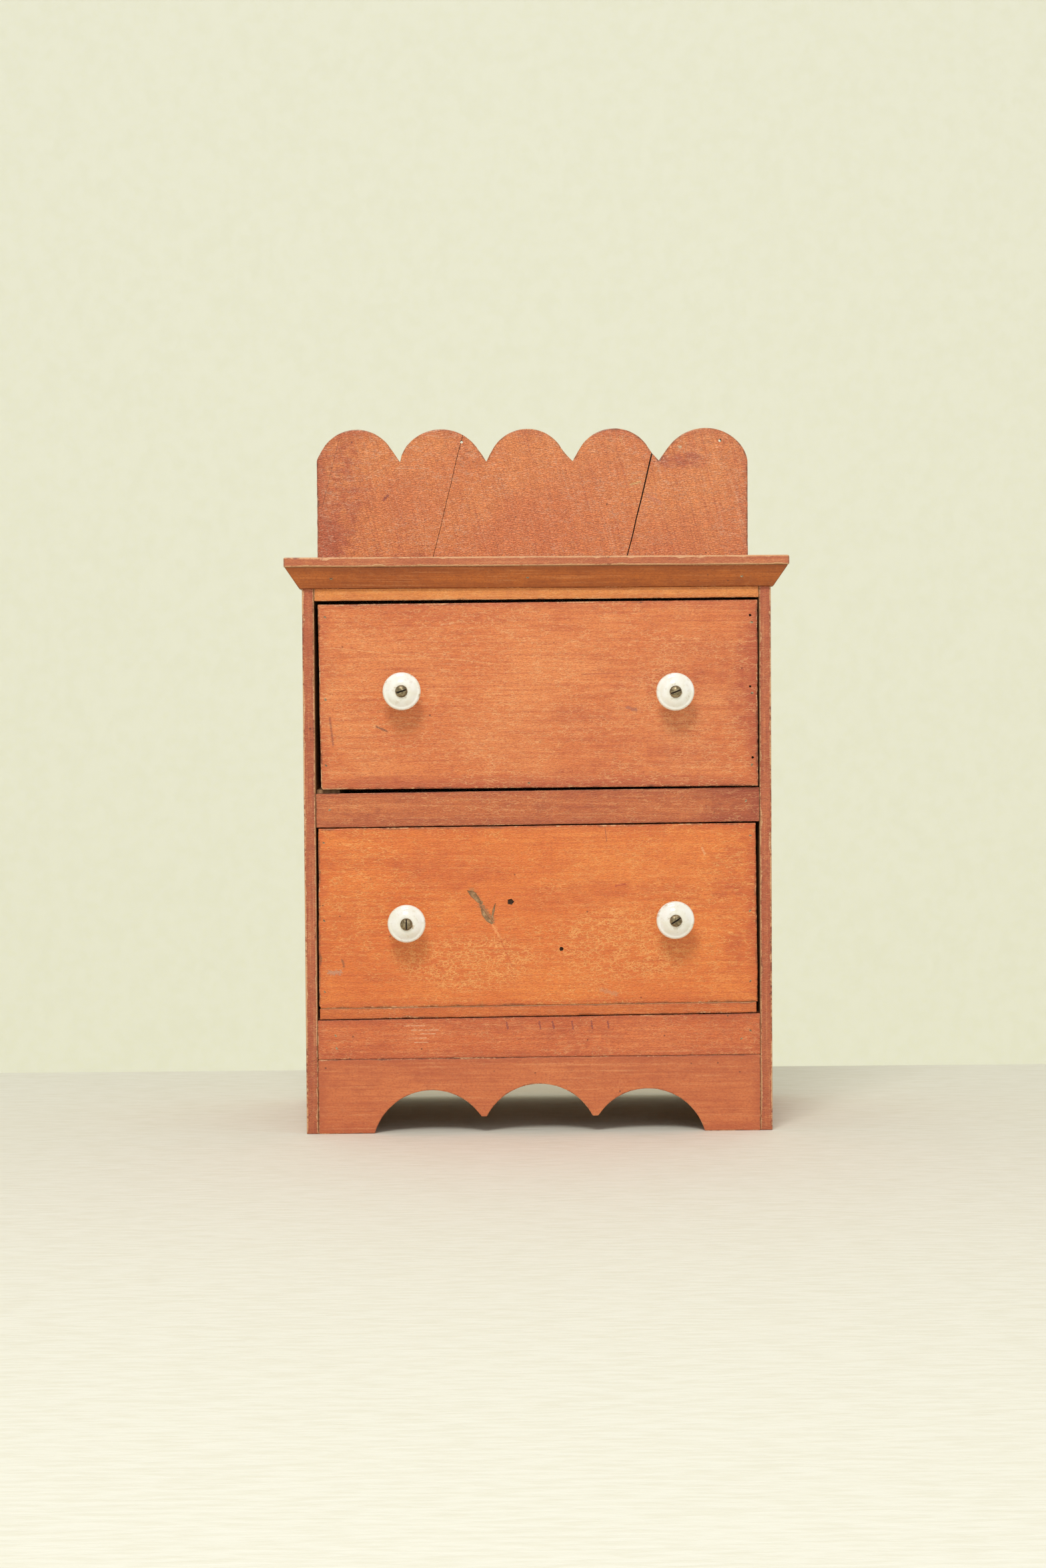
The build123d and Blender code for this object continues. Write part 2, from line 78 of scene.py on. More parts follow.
class Flow:
    """A number that varies over a surface. Arithmetic on it adds Math nodes."""

    def __init__(self, graph: "Graph", socket: bpy.types.NodeSocket) -> None:
        """Wrap a socket of a graph."""
        self.graph = graph
        self.socket = socket

    def __add__(self, other: "Flow | float") -> "Flow":
        """The sum."""
        return self.graph.maths("ADD", self, other)

    def __sub__(self, other: "Flow | float") -> "Flow":
        """The difference."""
        return self.graph.maths("SUBTRACT", self, other)

    def __rsub__(self, other: "Flow | float") -> "Flow":
        """The difference, from a number."""
        return self.graph.maths("SUBTRACT", other, self)

    def __mul__(self, other: "Flow | float") -> "Flow":
        """The product."""
        return self.graph.maths("MULTIPLY", self, other)

    def __truediv__(self, other: "Flow | float") -> "Flow":
        """The quotient."""
        return self.graph.maths("DIVIDE", self, other)

    __radd__ = __add__
    __rmul__ = __mul__

    def least(self, other: "Flow | float") -> "Flow":
        """The smaller of the two."""
        return self.graph.maths("MINIMUM", self, other)

    def most(self, other: "Flow | float") -> "Flow":
        """The larger of the two."""
        return self.graph.maths("MAXIMUM", self, other)

    def step(self, low: float, high: float) -> "Flow":
        """Rise smoothly from 0 at low to 1 at high, or fall where high is the smaller.

        Args:
            low: where the result is 0.
            high: where the result is 1.

        Returns:
            The eased value.
        """
        first, last, start, end = (low, high, 0.0, 1.0) if low < high else (high, low, 1.0, 0.0)
        values = {"Value": self, "From Min": first, "From Max": last, "To Min": start, "To Max": end}
        node = self.graph.node("ShaderNodeMapRange", {"interpolation_type": "SMOOTHSTEP"}, values)
        return Flow(self.graph, node.outputs["Result"])


class Graph:
    """A material's node tree, built by expressions."""

    def __init__(self, name: str) -> None:
        """Make an empty material of that name."""
        self.material = bpy.data.materials.new(name)
        self.material.use_nodes = True
        self.tree = self.material.node_tree
        self.tree.nodes.clear()
        self.place = self.node("ShaderNodeTexCoord").outputs["Object"]

    def node(self, kind: str, settings: dict | None = None, inputs: dict | None = None) -> bpy.types.Node:
        """Add a node.

        Args:
            kind: the node's type.
            settings: its properties, and a ramp's stops, which are set first.
            inputs: values or links for its sockets, by identifier or name.

        Returns:
            The node.
        """
        node = self.tree.nodes.new(kind)
        for key, value in (settings or {}).items():
            if key == "stops":
                ramp = node.color_ramp
                while len(ramp.elements) < len(value):
                    ramp.elements.new(0.5)
                for element, (place, colour) in zip(ramp.elements, value):
                    element.position, element.color = place, colour
            else:
                setattr(node, key, value)
        for key, value in (inputs or {}).items():
            known = {socket.identifier: socket for socket in node.inputs}
            socket = known[key] if key in known else node.inputs[key]
            if isinstance(value, Flow):
                self.tree.links.new(value.socket, socket)
            elif isinstance(value, bpy.types.NodeSocket):
                self.tree.links.new(value, socket)
            else:
                socket.default_value = value
        return node

    def maths(self, operation: str, first: "Flow | float", second: "Flow | float") -> Flow:
        """A Math node on two values."""
        node = self.node("ShaderNodeMath", {"operation": operation}, {"Value": first, "Value_001": second})
        return Flow(self, node.outputs[0])

    def mix(self, amount: "Flow | float", first: object, second: object) -> bpy.types.NodeSocket:
        """Mix two colours.

        Args:
            amount: how much of the second.
            first: a colour or a link.
            second: a colour or a link.

        Returns:
            The mixed colour's socket.
        """
        inputs = {"Factor_Float": amount, "A_Color": first, "B_Color": second}
        node = self.node("ShaderNodeMix", {"data_type": "RGBA"}, inputs)
        return [s for s in node.outputs if s.identifier == "Result_Color"][0]

    def turned(self, about: tuple[float, float, float]) -> bpy.types.NodeSocket:
        """The object's coordinates, turned by Euler angles in radians."""
        return self.node("ShaderNodeMapping", {}, {"Vector": self.place, "Rotation": about}).outputs[0]

    def stretched(self, at: bpy.types.NodeSocket, per_mm: tuple, seed: float = 0.0) -> bpy.types.NodeSocket:
        """Coordinates scaled to a pattern's own units.

        Args:
            at: the coordinates, in metres.
            per_mm: pattern units for each millimetre, along each axis.
            seed: moves the pattern.

        Returns:
            The scaled coordinates.
        """
        scale = tuple(1000.0 * c for c in per_mm)
        inputs = {"Vector": at, "Vector_001": scale, "Vector_002": (seed, seed * 1.7, seed * 0.6)}
        return self.node("ShaderNodeVectorMath", {"operation": "MULTIPLY_ADD"}, inputs).outputs[0]

    def warped(self, at: bpy.types.NodeSocket, scale: float, amount: float) -> bpy.types.NodeSocket:
        """Coordinates shaken by noise, so that straight lines wander.

        Args:
            at: the coordinates, in pattern units.
            scale: the noise's scale.
            amount: how far a point moves.

        Returns:
            The shaken coordinates.
        """
        cloud = self.node("ShaderNodeTexNoise", {}, {"Vector": at, "Scale": scale, "Detail": 2.0})
        inputs = {"Vector": cloud.outputs["Color"], "Vector_001": (amount,) * 3, "Vector_002": at}
        return self.node("ShaderNodeVectorMath", {"operation": "MULTIPLY_ADD"}, inputs).outputs[0]

    def noise(self, at: bpy.types.NodeSocket, detail: float = 3.0, rough: float = 0.5) -> Flow:
        """Cloudy noise from 0 to 1."""
        inputs = {"Vector": at, "Scale": 1.0, "Detail": detail, "Roughness": rough}
        return Flow(self, self.node("ShaderNodeTexNoise", {}, inputs).outputs[0])

    def cells(self, at: bpy.types.NodeSocket, feature: str = "DISTANCE_TO_EDGE") -> Flow:
        """The distance field of a Voronoi pattern."""
        node = self.node("ShaderNodeTexVoronoi", {"feature": feature}, {"Vector": at, "Scale": 1.0})
        return Flow(self, node.outputs["Distance"])

    def axes(self) -> list[Flow]:
        """The object's X, Y and Z, in millimetres."""
        split = self.node("ShaderNodeSeparateXYZ", {}, {"Vector": self.place})
        return [Flow(self, split.outputs[i]) * 1000.0 for i in range(3)]

    def attribute(self, name: str) -> Flow:
        """A number kept on the mesh."""
        return Flow(self, self.node("ShaderNodeAttribute", {"attribute_name": name}).outputs["Fac"])

    def finish(self, shader: dict, height: Flow | None = None, depth: float = 0.0003) -> bpy.types.Material:
        """Join everything to the surface.

        Args:
            shader: the Principled shader's inputs.
            height: a bump height from 0 to 1.
            depth: the bump's depth in metres.

        Returns:
            The finished material.
        """
        if height is not None:
            bump = self.node("ShaderNodeBump", {}, {"Height": height, "Distance": depth})
            shader = {**shader, "Normal": bump.outputs["Normal"]}
        surface = self.node("ShaderNodeBsdfPrincipled", {}, shader)
        self.node("ShaderNodeOutputMaterial", {}, {"Surface": surface.outputs[0]})
        return self.material


# ---------------------------------------------------------------- finishes


class Grain(Enum):
    """Which way a board's grain runs, as the Euler turn that lays it along X."""

    ACROSS = (0.0, 0.0, 0.0)
    UPRIGHT = (0.0, math.radians(90), 0.0)
    LEANING = (0.0, math.radians(104), 0.0)
    DEEP = (0.0, 0.0, math.radians(-90))


@dataclass(frozen=True)
class Patch:
    """A soft elliptical area on a front, in millimetres: its centre, half widths and strength."""

    x: float
    z: float
    half_x: float
    half_z: float
    strength: float = 1.0

    def on(self, x: Flow, z: Flow) -> Flow:
        """The patch as a mask, 1 at its centre and 0 outside.

        Args:
            x: the surface's X, in millimetres.
            z: the surface's Z, in millimetres.

        Returns:
            The mask.
        """
        across, along = (x - self.x) / self.half_x, (z - self.z) / self.half_z
        return (across * across + along * along).step(1.0, 0.1) * self.strength


@dataclass(frozen=True)
class Stroke:
    """A scratch, smear or chip on a front, in millimetres: a line with a width and a colour."""

    start: tuple[float, float]
    end: tuple[float, float]
    width: float
    colour: tuple
    strength: float = 0.8
    ragged: float = 1.0

    def on(self, graph: Graph, x: Flow, z: Flow, shake: Flow) -> Flow:
        """The stroke as a mask.

        Args:
            graph: the material's graph.
            x: the surface's X, in millimetres.
            z: the surface's Z, in millimetres.
            shake: noise from 0 to 1 that makes the stroke ragged.

        Returns:
            The mask.
        """
        run_x, run_z = self.end[0] - self.start[0], self.end[1] - self.start[1]
        square = run_x**2 + run_z**2
        from_x, from_z = x - self.start[0], z - self.start[1]
        along = ((from_x * run_x + from_z * run_z) / square).least(1.0).most(0.0)
        off_x, off_z = from_x - along * run_x, from_z - along * run_z
        gap = graph.maths("SQRT", off_x * off_x + off_z * off_z, 0.0)
        gap = gap + (shake - 0.5) * (self.width * 2.0 * self.ragged)
        return gap.step(self.width * 0.6, self.width * 0.25) * self.strength


@dataclass(frozen=True)
class BarePine:
    """Unfinished pine that has browned with age."""

    light: tuple = tint(204, 158, 112)
    brown: tuple = tint(172, 122, 80)
    slot: str = "bare_pine"

    def colour(self, g: Graph, grain: Grain, seed: float) -> tuple[bpy.types.NodeSocket, Flow, Flow]:
        """The wood's colour, its bump height and its stain.

        Args:
            g: the material's graph.
            grain: which way the grain runs.
            seed: moves the patterns.

        Returns:
            The colour, the height and the stain.
        """
        fibre = g.turned(grain.value)
        rings_at = g.warped(g.stretched(fibre, (0.002, 0.06, 0.06), seed), 1.0, 0.3)
        rings = g.noise(g.stretched(fibre, (0.004, 0.4, 0.4), seed), detail=3.0)
        bands = g.node("ShaderNodeTexWave", {"bands_direction": "Y"}, {"Vector": rings_at, "Scale": 1.2})
        fine = g.noise(g.stretched(fibre, (0.03, 1.6, 1.6), seed + 2), detail=3.0)
        stain = g.noise(g.stretched(g.place, (0.02, 0.02, 0.02), seed + 4), detail=4.0)
        amount = Flow(g, bands.outputs["Fac"]) * 0.35 + rings * 0.45 + fine * 0.2
        colour = g.mix(amount.step(0.2, 0.85), self.light, self.brown)
        colour = g.mix(stain.step(0.5, 0.75) * 0.45, colour, self.brown)
        return colour, fine * 0.4 + rings * 0.3, stain

    def dress(self, name: str, grain: Grain, seed: float) -> bpy.types.Material:
        """Make the finish for one board.

        Args:
            name: the material's name.
            grain: which way the grain runs.
            seed: moves the patterns.

        Returns:
            The material.
        """
        g = Graph(name)
        colour, height, stain = self.colour(g, grain, seed)
        colour = g.mix(g.attribute("edge") * stain * 0.5, colour, tint(112, 76, 50))
        return g.finish({"Base Color": colour, "Roughness": 0.72 + stain * 0.12}, height, 0.0004)


class Patterns:
    """The noise patterns of one board, from which its stain, grime and wear are worked out."""

    def __init__(self, g: Graph, grain: Grain, seed: float) -> None:
        """Add the patterns to a material's graph."""
        fibre = g.turned(grain.value)
        self.blotch = g.noise(g.stretched(g.place, (0.016, 0.016, 0.022), seed), detail=4.0)
        self.soft = g.noise(g.stretched(fibre, (0.01, 0.06, 0.06), seed + 3), detail=4.0)
        self.streak = g.noise(g.stretched(fibre, (0.02, 0.8, 0.8), seed + 5), detail=4.0, rough=0.62)
        self.pore = g.noise(g.stretched(fibre, (0.10, 3.0, 3.0), seed + 8), detail=2.0)
        self.mottle = g.noise(g.stretched(g.place, (0.13, 0.13, 0.2), seed + 1), detail=4.0, rough=0.6)
        self.grit = g.noise(g.stretched(g.place, (0.7, 0.7, 0.9), seed + 13), detail=3.0, rough=0.6)
        self.nibble = g.noise(g.stretched(g.place, (0.35, 0.35, 0.35), seed + 7), detail=4.0, rough=0.65)
        self.long_wear = g.noise(g.stretched(g.place, (0.03, 0.03, 0.03), seed + 11), detail=2.0)


@dataclass(frozen=True)
class StainedPine:
    """Pine under an old orange-red stain and a varnish that has crazed.

    The tones run from the palest of the stain to the grime that gathers at the edges, and the
    shadow tone is painted shade for the edge faces in the gaps between parts. Faces that were
    never stained show bare pine: those marked "raw" on the mesh, and all that lies more than
    reach millimetres behind the board's front.
    """

    pale: tuple = tint(234, 142, 80)
    middle: tuple = tint(224, 126, 67)
    deep: tuple = tint(186, 88, 52)
    line: tuple = tint(252, 190, 130)
    bare: tuple = tint(228, 178, 132)
    grime: tuple = tint(104, 60, 42)
    shadow: tuple = tint(54, 32, 24)
    deep_share: float = 0.45
    crazing: float = 0.8
    alligator: float = 0.3
    wear: float = 0.0
    # How far the edge faces are darkened towards the shadow tone: painted shade in the gaps between parts.
    gap_shade: float = 0.0
    gloss: float = 0.3
    reach: float | None = None
    slot: str = "front_wood"

    def cracks(self, g: Graph, seed: float, net: Flow | None) -> Flow:
        """The crazed varnish: short wavy cracks all over, and a net of wider ones in places.

        Args:
            g: the material's graph.
            seed: moves the pattern.
            net: where the net is, from 0 to 1.

        Returns:
            The cracks, from 0 to 1.
        """
        breaks = g.noise(g.stretched(g.place, (0.13, 0.13, 0.42), seed + 2), detail=3.0)
        area = g.noise(g.stretched(g.place, (0.02, 0.02, 0.034), seed + 9), detail=3.0)
        fine_at = g.warped(g.stretched(g.place, (0.26, 0.4, 0.66), seed), 1.6, 0.8)
        fine = g.cells(fine_at).step(0.11, 0.03)
        scattered = fine * breaks.step(0.44, 0.58) * (area.step(0.32, 0.60) * 0.75 + 0.25) * self.crazing
        if net is None:
            return scattered
        wide = (net + area * 1.1 - 0.75).step(0.05, 0.75)
        web_at = g.warped(g.stretched(g.place, (0.19, 0.3, 0.30), seed + 4), 2.2, 0.6)
        web = g.cells(web_at).step(0.07, 0.02) * wide * breaks.step(0.34, 0.52) * 0.9
        dense = fine * wide * breaks.step(0.38, 0.52) * 0.8
        return scattered.most(web).most(dense)

    def dress(
        self,
        name: str,
        box: tuple[Vector, Vector],
        grain: Grain,
        seed: float,
        nets: tuple[Patch, ...] = (),
        deeps: tuple[Patch, ...] = (),
        pales: tuple[Patch, ...] = (),
        strokes: tuple[Stroke, ...] = (),
    ) -> bpy.types.Material:
        """Make the finish for one board.

        Args:
            name: the material's name.
            box: the board's corners, in metres.
            grain: which way the grain runs.
            seed: moves the patterns, so that no two boards match.
            nets: where the varnish has crazed into a net.
            deeps: where the stain is darker.
            pales: where the stain is lighter.
            strokes: scratches, smears and chips.

        Returns:
            The material.
        """
        g = Graph(name)
        x, y, z = g.axes()
        low, high = box
        first, second, third = [
            (value - low[i] / MM).least(high[i] / MM - value) for i, value in enumerate((x, y, z))
        ]
        inset = first.least(second).most(first.most(second).least(third))
        p = Patterns(g, grain, seed)
        deepness = (p.soft * 0.5 + p.mottle * 0.5).step(0.42, 0.64) * self.deep_share
        deepness = deepness.most((inset + p.mottle * 16.0 - 8.0).step(12.0, 0.0) * 0.55)
        for patch in deeps:
            deepness = deepness + patch.on(x, z) * (p.mottle * 1.0 + 0.4)
        for patch in pales:
            deepness = deepness - patch.on(x, z) * (p.mottle * 0.6 + 0.4)
        colour = self.stained(g, p, deepness)

        net = None
        for patch in nets:
            mask = patch.on(x, z)
            net = mask if net is None else net.most(mask)
        cracks = self.cracks(g, seed, net)
        if net is not None:
            colour = g.mix(net.least(1.0) * (1.0 - cracks) * 0.2, colour, self.deep)
        colour = g.mix(cracks * (p.grit * 0.8 + 0.3), colour, self.line)
        dots = g.cells(g.stretched(g.place, (0.11, 0.11, 0.11), seed + 6), "F1").step(0.085, 0.05)
        dots = dots * p.mottle.step(0.5, 0.6)
        colour = g.mix(dots * 0.75, colour, self.grime)
        for stroke in strokes:
            colour = g.mix(stroke.on(g, x, z, p.grit), colour, stroke.colour)
        colour, worn = self.handled(g, p, colour)

        plain, _, _ = INSIDE.colour(g, grain, seed)
        raw = g.attribute("raw").step(0.3, 0.7)
        if self.reach is not None:
            raw = raw.most((y - low.y / MM + p.mottle * 3.0).step(self.reach, self.reach + 3.0))
        colour = g.mix(raw, colour, plain)
        kept = 1.0 - raw

        ridge_at = g.warped(g.stretched(g.place, (0.30, 0.5, 0.95), seed + 12), 1.6, 0.6)
        ridge = g.cells(ridge_at).step(0.0, 0.24)
        height = 0.5 + p.mottle * 0.35 + p.streak * 0.16 + p.pore * 0.08 + p.grit * 0.12
        height = height + (ridge * self.alligator - cracks * 0.2 - dots * 0.3) * kept - worn * 0.12
        shader = {
            "Base Color": colour,
            "Roughness": 0.44 + p.mottle * 0.16 + worn * 0.22 + cracks * 0.1 + raw * 0.2,
            "Coat Weight": (1.0 - worn) * kept * self.gloss,
            "Coat Roughness": 0.24,
            "Specular IOR Level": 0.35,
        }
        return g.finish(shader, height, 0.0006)

    def stained(self, g: Graph, p: Patterns, deepness: Flow) -> bpy.types.NodeSocket:
        """The colour of the stained wood, before its marks and its wear.

        Args:
            g: the material's graph.
            p: the board's patterns.
            deepness: where the stain is dark, from 0 to 1.

        Returns:
            The colour.
        """
        colour = g.mix(p.blotch.step(0.35, 0.66), self.pale, self.middle)
        colour = g.mix(deepness.step(0.0, 1.0), colour, self.deep)
        colour = g.mix(p.streak.step(0.46, 0.70) * 0.5, colour, self.deep)
        colour = g.mix(p.streak.step(0.45, 0.30) * 0.22, colour, self.line)
        colour = g.mix(p.pore.step(0.56, 0.8) * 0.22, colour, self.grime)
        return g.mix(p.grit.step(0.48, 0.62) * 0.4, colour, self.deep)

    def handled(
        self, g: Graph, p: Patterns, colour: bpy.types.NodeSocket
    ) -> tuple[bpy.types.NodeSocket, Flow]:
        """The colour after years of handling: arrises rubbed bare, grime beside them, and painted shade on
        the edge faces in the gaps.

        Args:
            g: the material's graph.
            p: the board's patterns.
            colour: the colour before.

        Returns:
            The colour, and where the stain is rubbed off.
        """
        rim, side = g.attribute("edge"), g.attribute("side")
        rubbing = rim * 0.62 + p.nibble * 0.55 + p.long_wear * 0.45
        worn = rubbing.step(1.12 - 0.34 * self.wear, 1.24 - 0.34 * self.wear)
        soil = (rim * 0.5 + p.mottle * 0.8 + p.blotch * 0.4).step(0.92, 1.3) * (1.0 - worn)
        colour = g.mix(soil * 0.7, colour, self.grime)
        colour = g.mix(worn * 0.8, colour, self.bare)
        # Painted shade: the edge faces, which lie in the gaps between parts, are darkened towards the shadow
        # tone.
        if self.gap_shade:
            colour = g.mix(side.step(0.25, 0.9) * self.gap_shade, colour, self.shadow)
        return colour, worn


@dataclass(frozen=True)
class Porcelain:
    """White glaze with brown grime round the screw and at the rim."""

    glaze: tuple = tint(246, 244, 236)
    cream: tuple = tint(232, 226, 202)
    rust: tuple = tint(176, 138, 84)
    slot: str = "porcelain"

    def dress(self, name: str, centre: Vector, seed: float, stain: float) -> bpy.types.Material:
        """Make the finish for one knob.

        Args:
            name: the material's name.
            centre: the middle of the knob's face, in metres.
            seed: moves the stains.
            stain: how stained it is, from 0 to 1.

        Returns:
            The material.
        """
        g = Graph(name)
        x, _, z = g.axes()
        across, along = x - centre.x / MM, z - centre.z / MM
        radius = g.maths("SQRT", across * across + along * along, 0.0)
        cloud = g.noise(g.stretched(g.place, (0.16, 0.16, 0.16), seed), detail=4.0)
        patchy = g.noise(g.stretched(g.place, (0.3, 0.3, 0.3), seed + 4), detail=4.0, rough=0.65)
        near_screw = (radius + cloud * 5.0 - 2.5).step(7.0, 3.8)
        near_rim = (radius + cloud * 3.0).step(12.3, 14.2)
        colour = g.mix(cloud.step(0.35, 0.75) * 0.6, self.glaze, self.cream)
        colour = g.mix(near_screw * 0.4 + near_rim * 0.25, colour, self.cream)
        blots = patchy.step(0.56, 0.69) * (near_screw + near_rim + 0.25).least(1.0) * stain
        colour = g.mix(blots * 0.8, colour, self.rust)
        flecks = g.cells(g.stretched(g.place, (0.33, 0.33, 0.33), seed), "F1").step(0.10, 0.05)
        colour = g.mix(flecks * cloud.step(0.5, 0.6) * 0.8, colour, tint(96, 78, 52))
        shader = {
            "Base Color": colour,
            "Roughness": 0.12 + blots * 0.4,
            "Coat Weight": 0.5,
            "Coat Roughness": 0.05,
        }
        return g.finish(shader, cloud, 0.00008)


@dataclass(frozen=True)
class Metal:
    """Old metal, dulled and dirty."""

    bright: tuple
    dull: tuple
    slot: str
    shine: float = 0.85
    roughness: float = 0.34

    def dress(self, name: str, seed: float) -> bpy.types.Material:
        """Make the finish.

        Args:
            name: the material's name.
            seed: moves the tarnish.

        Returns:
            The material.
        """
        g = Graph(name)
        cloud = g.noise(g.stretched(g.place, (0.5, 0.5, 0.5), seed), detail=5.0, rough=0.65)
        scratch = g.noise(g.stretched(g.place, (0.6, 2.5, 4.0), seed + 2), detail=2.0)
        colour = g.mix(cloud.step(0.36, 0.62), self.bright, self.dull)
        shader = {
            "Base Color": colour,
            "Metallic": (1.0 - cloud.step(0.45, 0.72) * 0.8) * self.shine,
            "Roughness": self.roughness + cloud * 0.25,
        }
        return g.finish(shader, cloud * 0.7 + scratch * 0.3, 0.00012)


@dataclass(frozen=True)
class Hollow:
    """What shows in a hole, a split, a gouge or a screw's slot, grey with dirt."""

    colour: tuple = tint(92, 66, 50)
    pale: tuple = tint(140, 112, 88)

    def dress(self, name: str, seed: float) -> bpy.types.Material:
        """Make the finish, moved by the seed."""
        g = Graph(name)
        cloud = g.noise(g.stretched(g.place, (0.4, 0.4, 0.4), seed), detail=4.0)
        colour = g.mix(cloud.step(0.4, 0.7), self.colour, self.pale)
        return g.finish({"Base Color": colour, "Roughness": 0.85}, cloud, 0.0003)


@dataclass(frozen=True)
class Backdrop:
    """Plain pale cloth for the studio, which may glow as if lit from behind."""

    colour: tuple
    shade: tuple
    glow: float = 0.0

    def dress(self, name: str) -> bpy.types.Material:
        """Make the finish."""
        g = Graph(name)
        cloud = g.noise(g.stretched(g.place, (0.05, 0.25, 0.05), 2.0), detail=4.0, rough=0.6)
        colour = g.mix(cloud.step(0.35, 0.7), self.colour, self.shade)
        shader = {
            "Base Color": colour,
            "Roughness": 0.9,
            "Emission Color": colour,
            "Emission Strength": self.glow,
        }
        return g.finish(shader, cloud, 0.0006)


# ---------------------------------------------------------------- shapes


def as_mesh(name: str, shape: bmesh.types.BMesh) -> bpy.types.Mesh:
    """Write a bmesh to a new mesh, and free it."""
    mesh = bpy.data.meshes.new(name)
    shape.to_mesh(mesh)
    shape.free()
    return mesh


def linked(name: str, data: bpy.types.ID) -> bpy.types.Object:
    """A new object with that data, linked to the scene."""
    made = bpy.data.objects.new(name, data)
    bpy.context.scene.collection.objects.link(made)
    return made


def smooth(mesh: bpy.types.Mesh) -> None:
    """Shade a mesh smoothly, apart from its sharp edges."""
    for polygon in mesh.polygons:
        polygon.use_smooth = True
    mesh.set_sharp_from_angle(angle=SHARP_ANGLE)


def new_piece(name: str, mesh: bpy.types.Mesh, material: bpy.types.Material) -> bpy.types.Object:
    """Link a mesh as a piece at the origin.

    Args:
        name: the piece's name.
        mesh: its mesh, in place.
        material: its first material.

    Returns:
        The object.
    """
    if material.name not in [m.name for m in mesh.materials if m]:
        mesh.materials.append(material)
    smooth(mesh)
    return linked(name, mesh)


def give(piece: bpy.types.Object, body: str, slot: str, *nodes: str) -> bpy.types.Object:
    """Hand a finished piece to the frame.

    Args:
        piece: the piece.
        body: the body that it rides on.
        slot: not used.
        nodes: the CAD nodes that it stands for.

    Returns:
        The piece.
    """
    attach(piece, body)
    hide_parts(*nodes)
    LOG.info("%s rides on %s: %d faces", piece.name, body, len(piece.data.polygons))
    return piece


def merged_copy(node: str) -> bmesh.types.BMesh:
    """A CAD node's mesh as a bmesh with its loose triangles joined."""
    shape = bmesh.new()
    shape.from_mesh(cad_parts[node].data)
    bmesh.ops.remove_doubles(shape, verts=shape.verts, dist=2e-6)
    shape.normal_update()
    return shape


@dataclass
class Face:
    """A board's broad face: a plane with U and V along it, and its outline in U and V."""

    normal: Vector
    level: float
    thickness: float
    outline: np.ndarray
    u: Vector = field(init=False)
    v: Vector = field(init=False)

    def __post_init__(self) -> None:
        """Work out the two directions along the face."""
        self.u, self.v = face_axes(self.normal)

    def place(self, point: np.ndarray, depth: float) -> Vector:
        """The place in space of a point on the face, sunk by a depth."""
        return self.u * point[0] + self.v * point[1] + self.normal * (self.level - depth)


def face_axes(normal: Vector) -> tuple[Vector, Vector]:
    """Two directions along a plane, the first of them level where it can be."""
    side = UPWARD.cross(normal) if abs(normal.z) < 0.9 else RIGHTWARD.copy()
    side = (side - normal * side.dot(normal)).normalized()
    return side, normal.cross(side)


def broad_face(node: str, outward: Vector) -> Face:
    """Read a CAD board's broad face.

    Args:
        node: the CAD node.
        outward: roughly which way the face looks.

    Returns:
        The face, with its outline anticlockwise as seen from outside.
    """
    shape = merged_copy(node)
    chosen = {f for f in shape.faces if f.normal.dot(outward) > 0.998}
    normal = sum((f.normal * f.calc_area() for f in chosen), Vector()).normalized()
    follow = {}
    for face in chosen:
        for loop in face.loops:
            if not all(f in chosen for f in loop.edge.link_faces):
                follow[loop.vert] = loop.link_loop_next.vert
    loops = []
    while follow:
        start, vert = next(iter(follow.items()))
        del follow[start]
        chain = [start.co.copy()]
        while vert is not start:
            chain.append(vert.co.copy())
            vert = follow.pop(vert)
        loops.append(chain)
    u, v = face_axes(normal)
    outer = max(loops, key=lambda chain: sum((b - a).length for a, b in zip(chain, chain[1:])))
    outline = np.array([(p.dot(u), p.dot(v)) for p in outer])
    heights = [vert.co.dot(normal) for vert in shape.verts]
    shape.free()
    return Face(normal, max(heights), max(heights) - min(heights), outline)


def turn_at(before: np.ndarray, at: np.ndarray, after: np.ndarray) -> float:
    """How far an outline turns at a point, in radians, positive to the left."""
    a, b = at - before, after - at
    return math.atan2(a[0] * b[1] - a[1] * b[0], float(a @ b))


def resample(outline: np.ndarray, spacing: float, corner: float) -> np.ndarray:
    """Space an outline's points evenly and round its corners.

    Args:
        outline: the closed outline.
        spacing: the distance between points.
        corner: the radius of a worn corner.

    Returns:
        The new outline.
    """
    count = len(outline)
    turns = [turn_at(outline[i - 1], outline[i], outline[(i + 1) % count]) for i in range(count)]
    corners = [i for i, turn in enumerate(turns) if abs(turn) > CORNER_ANGLE]
    points: list[np.ndarray] = []
    sharp: list[float] = []
    for here, there in zip(corners, corners[1:] + [corners[0] + count]):
        run = np.array([outline[i % count] for i in range(here, there + 1)])
        lengths = np.concatenate([[0], np.cumsum(np.linalg.norm(np.diff(run, axis=0), axis=1))])
        steps = max(2, round(lengths[-1] / spacing))
        for k in range(steps):
            at = lengths[-1] * k / steps
            points.append(np.array([np.interp(at, lengths, run[:, i]) for i in (0, 1)]))
            sharp.append(turns[here] if k == 0 else 0.0)
    rounded: list[np.ndarray] = []
    for i, point in enumerate(points):
        if not sharp[i]:
            rounded.append(point)
            continue
        before, after = points[i - 1], points[(i + 1) % len(points)]
        radius = corner if sharp[i] > 0 else corner * 0.3
        start = point + (before - point) * min(0.45, radius / np.linalg.norm(before - point))
        end = point + (after - point) * min(0.45, radius / np.linalg.norm(after - point))
        for t in (0.0, 0.25, 0.5, 0.75, 1.0):
            rounded.append((1 - t) ** 2 * start + 2 * t * (1 - t) * point + t * t * end)
    return np.array(rounded)


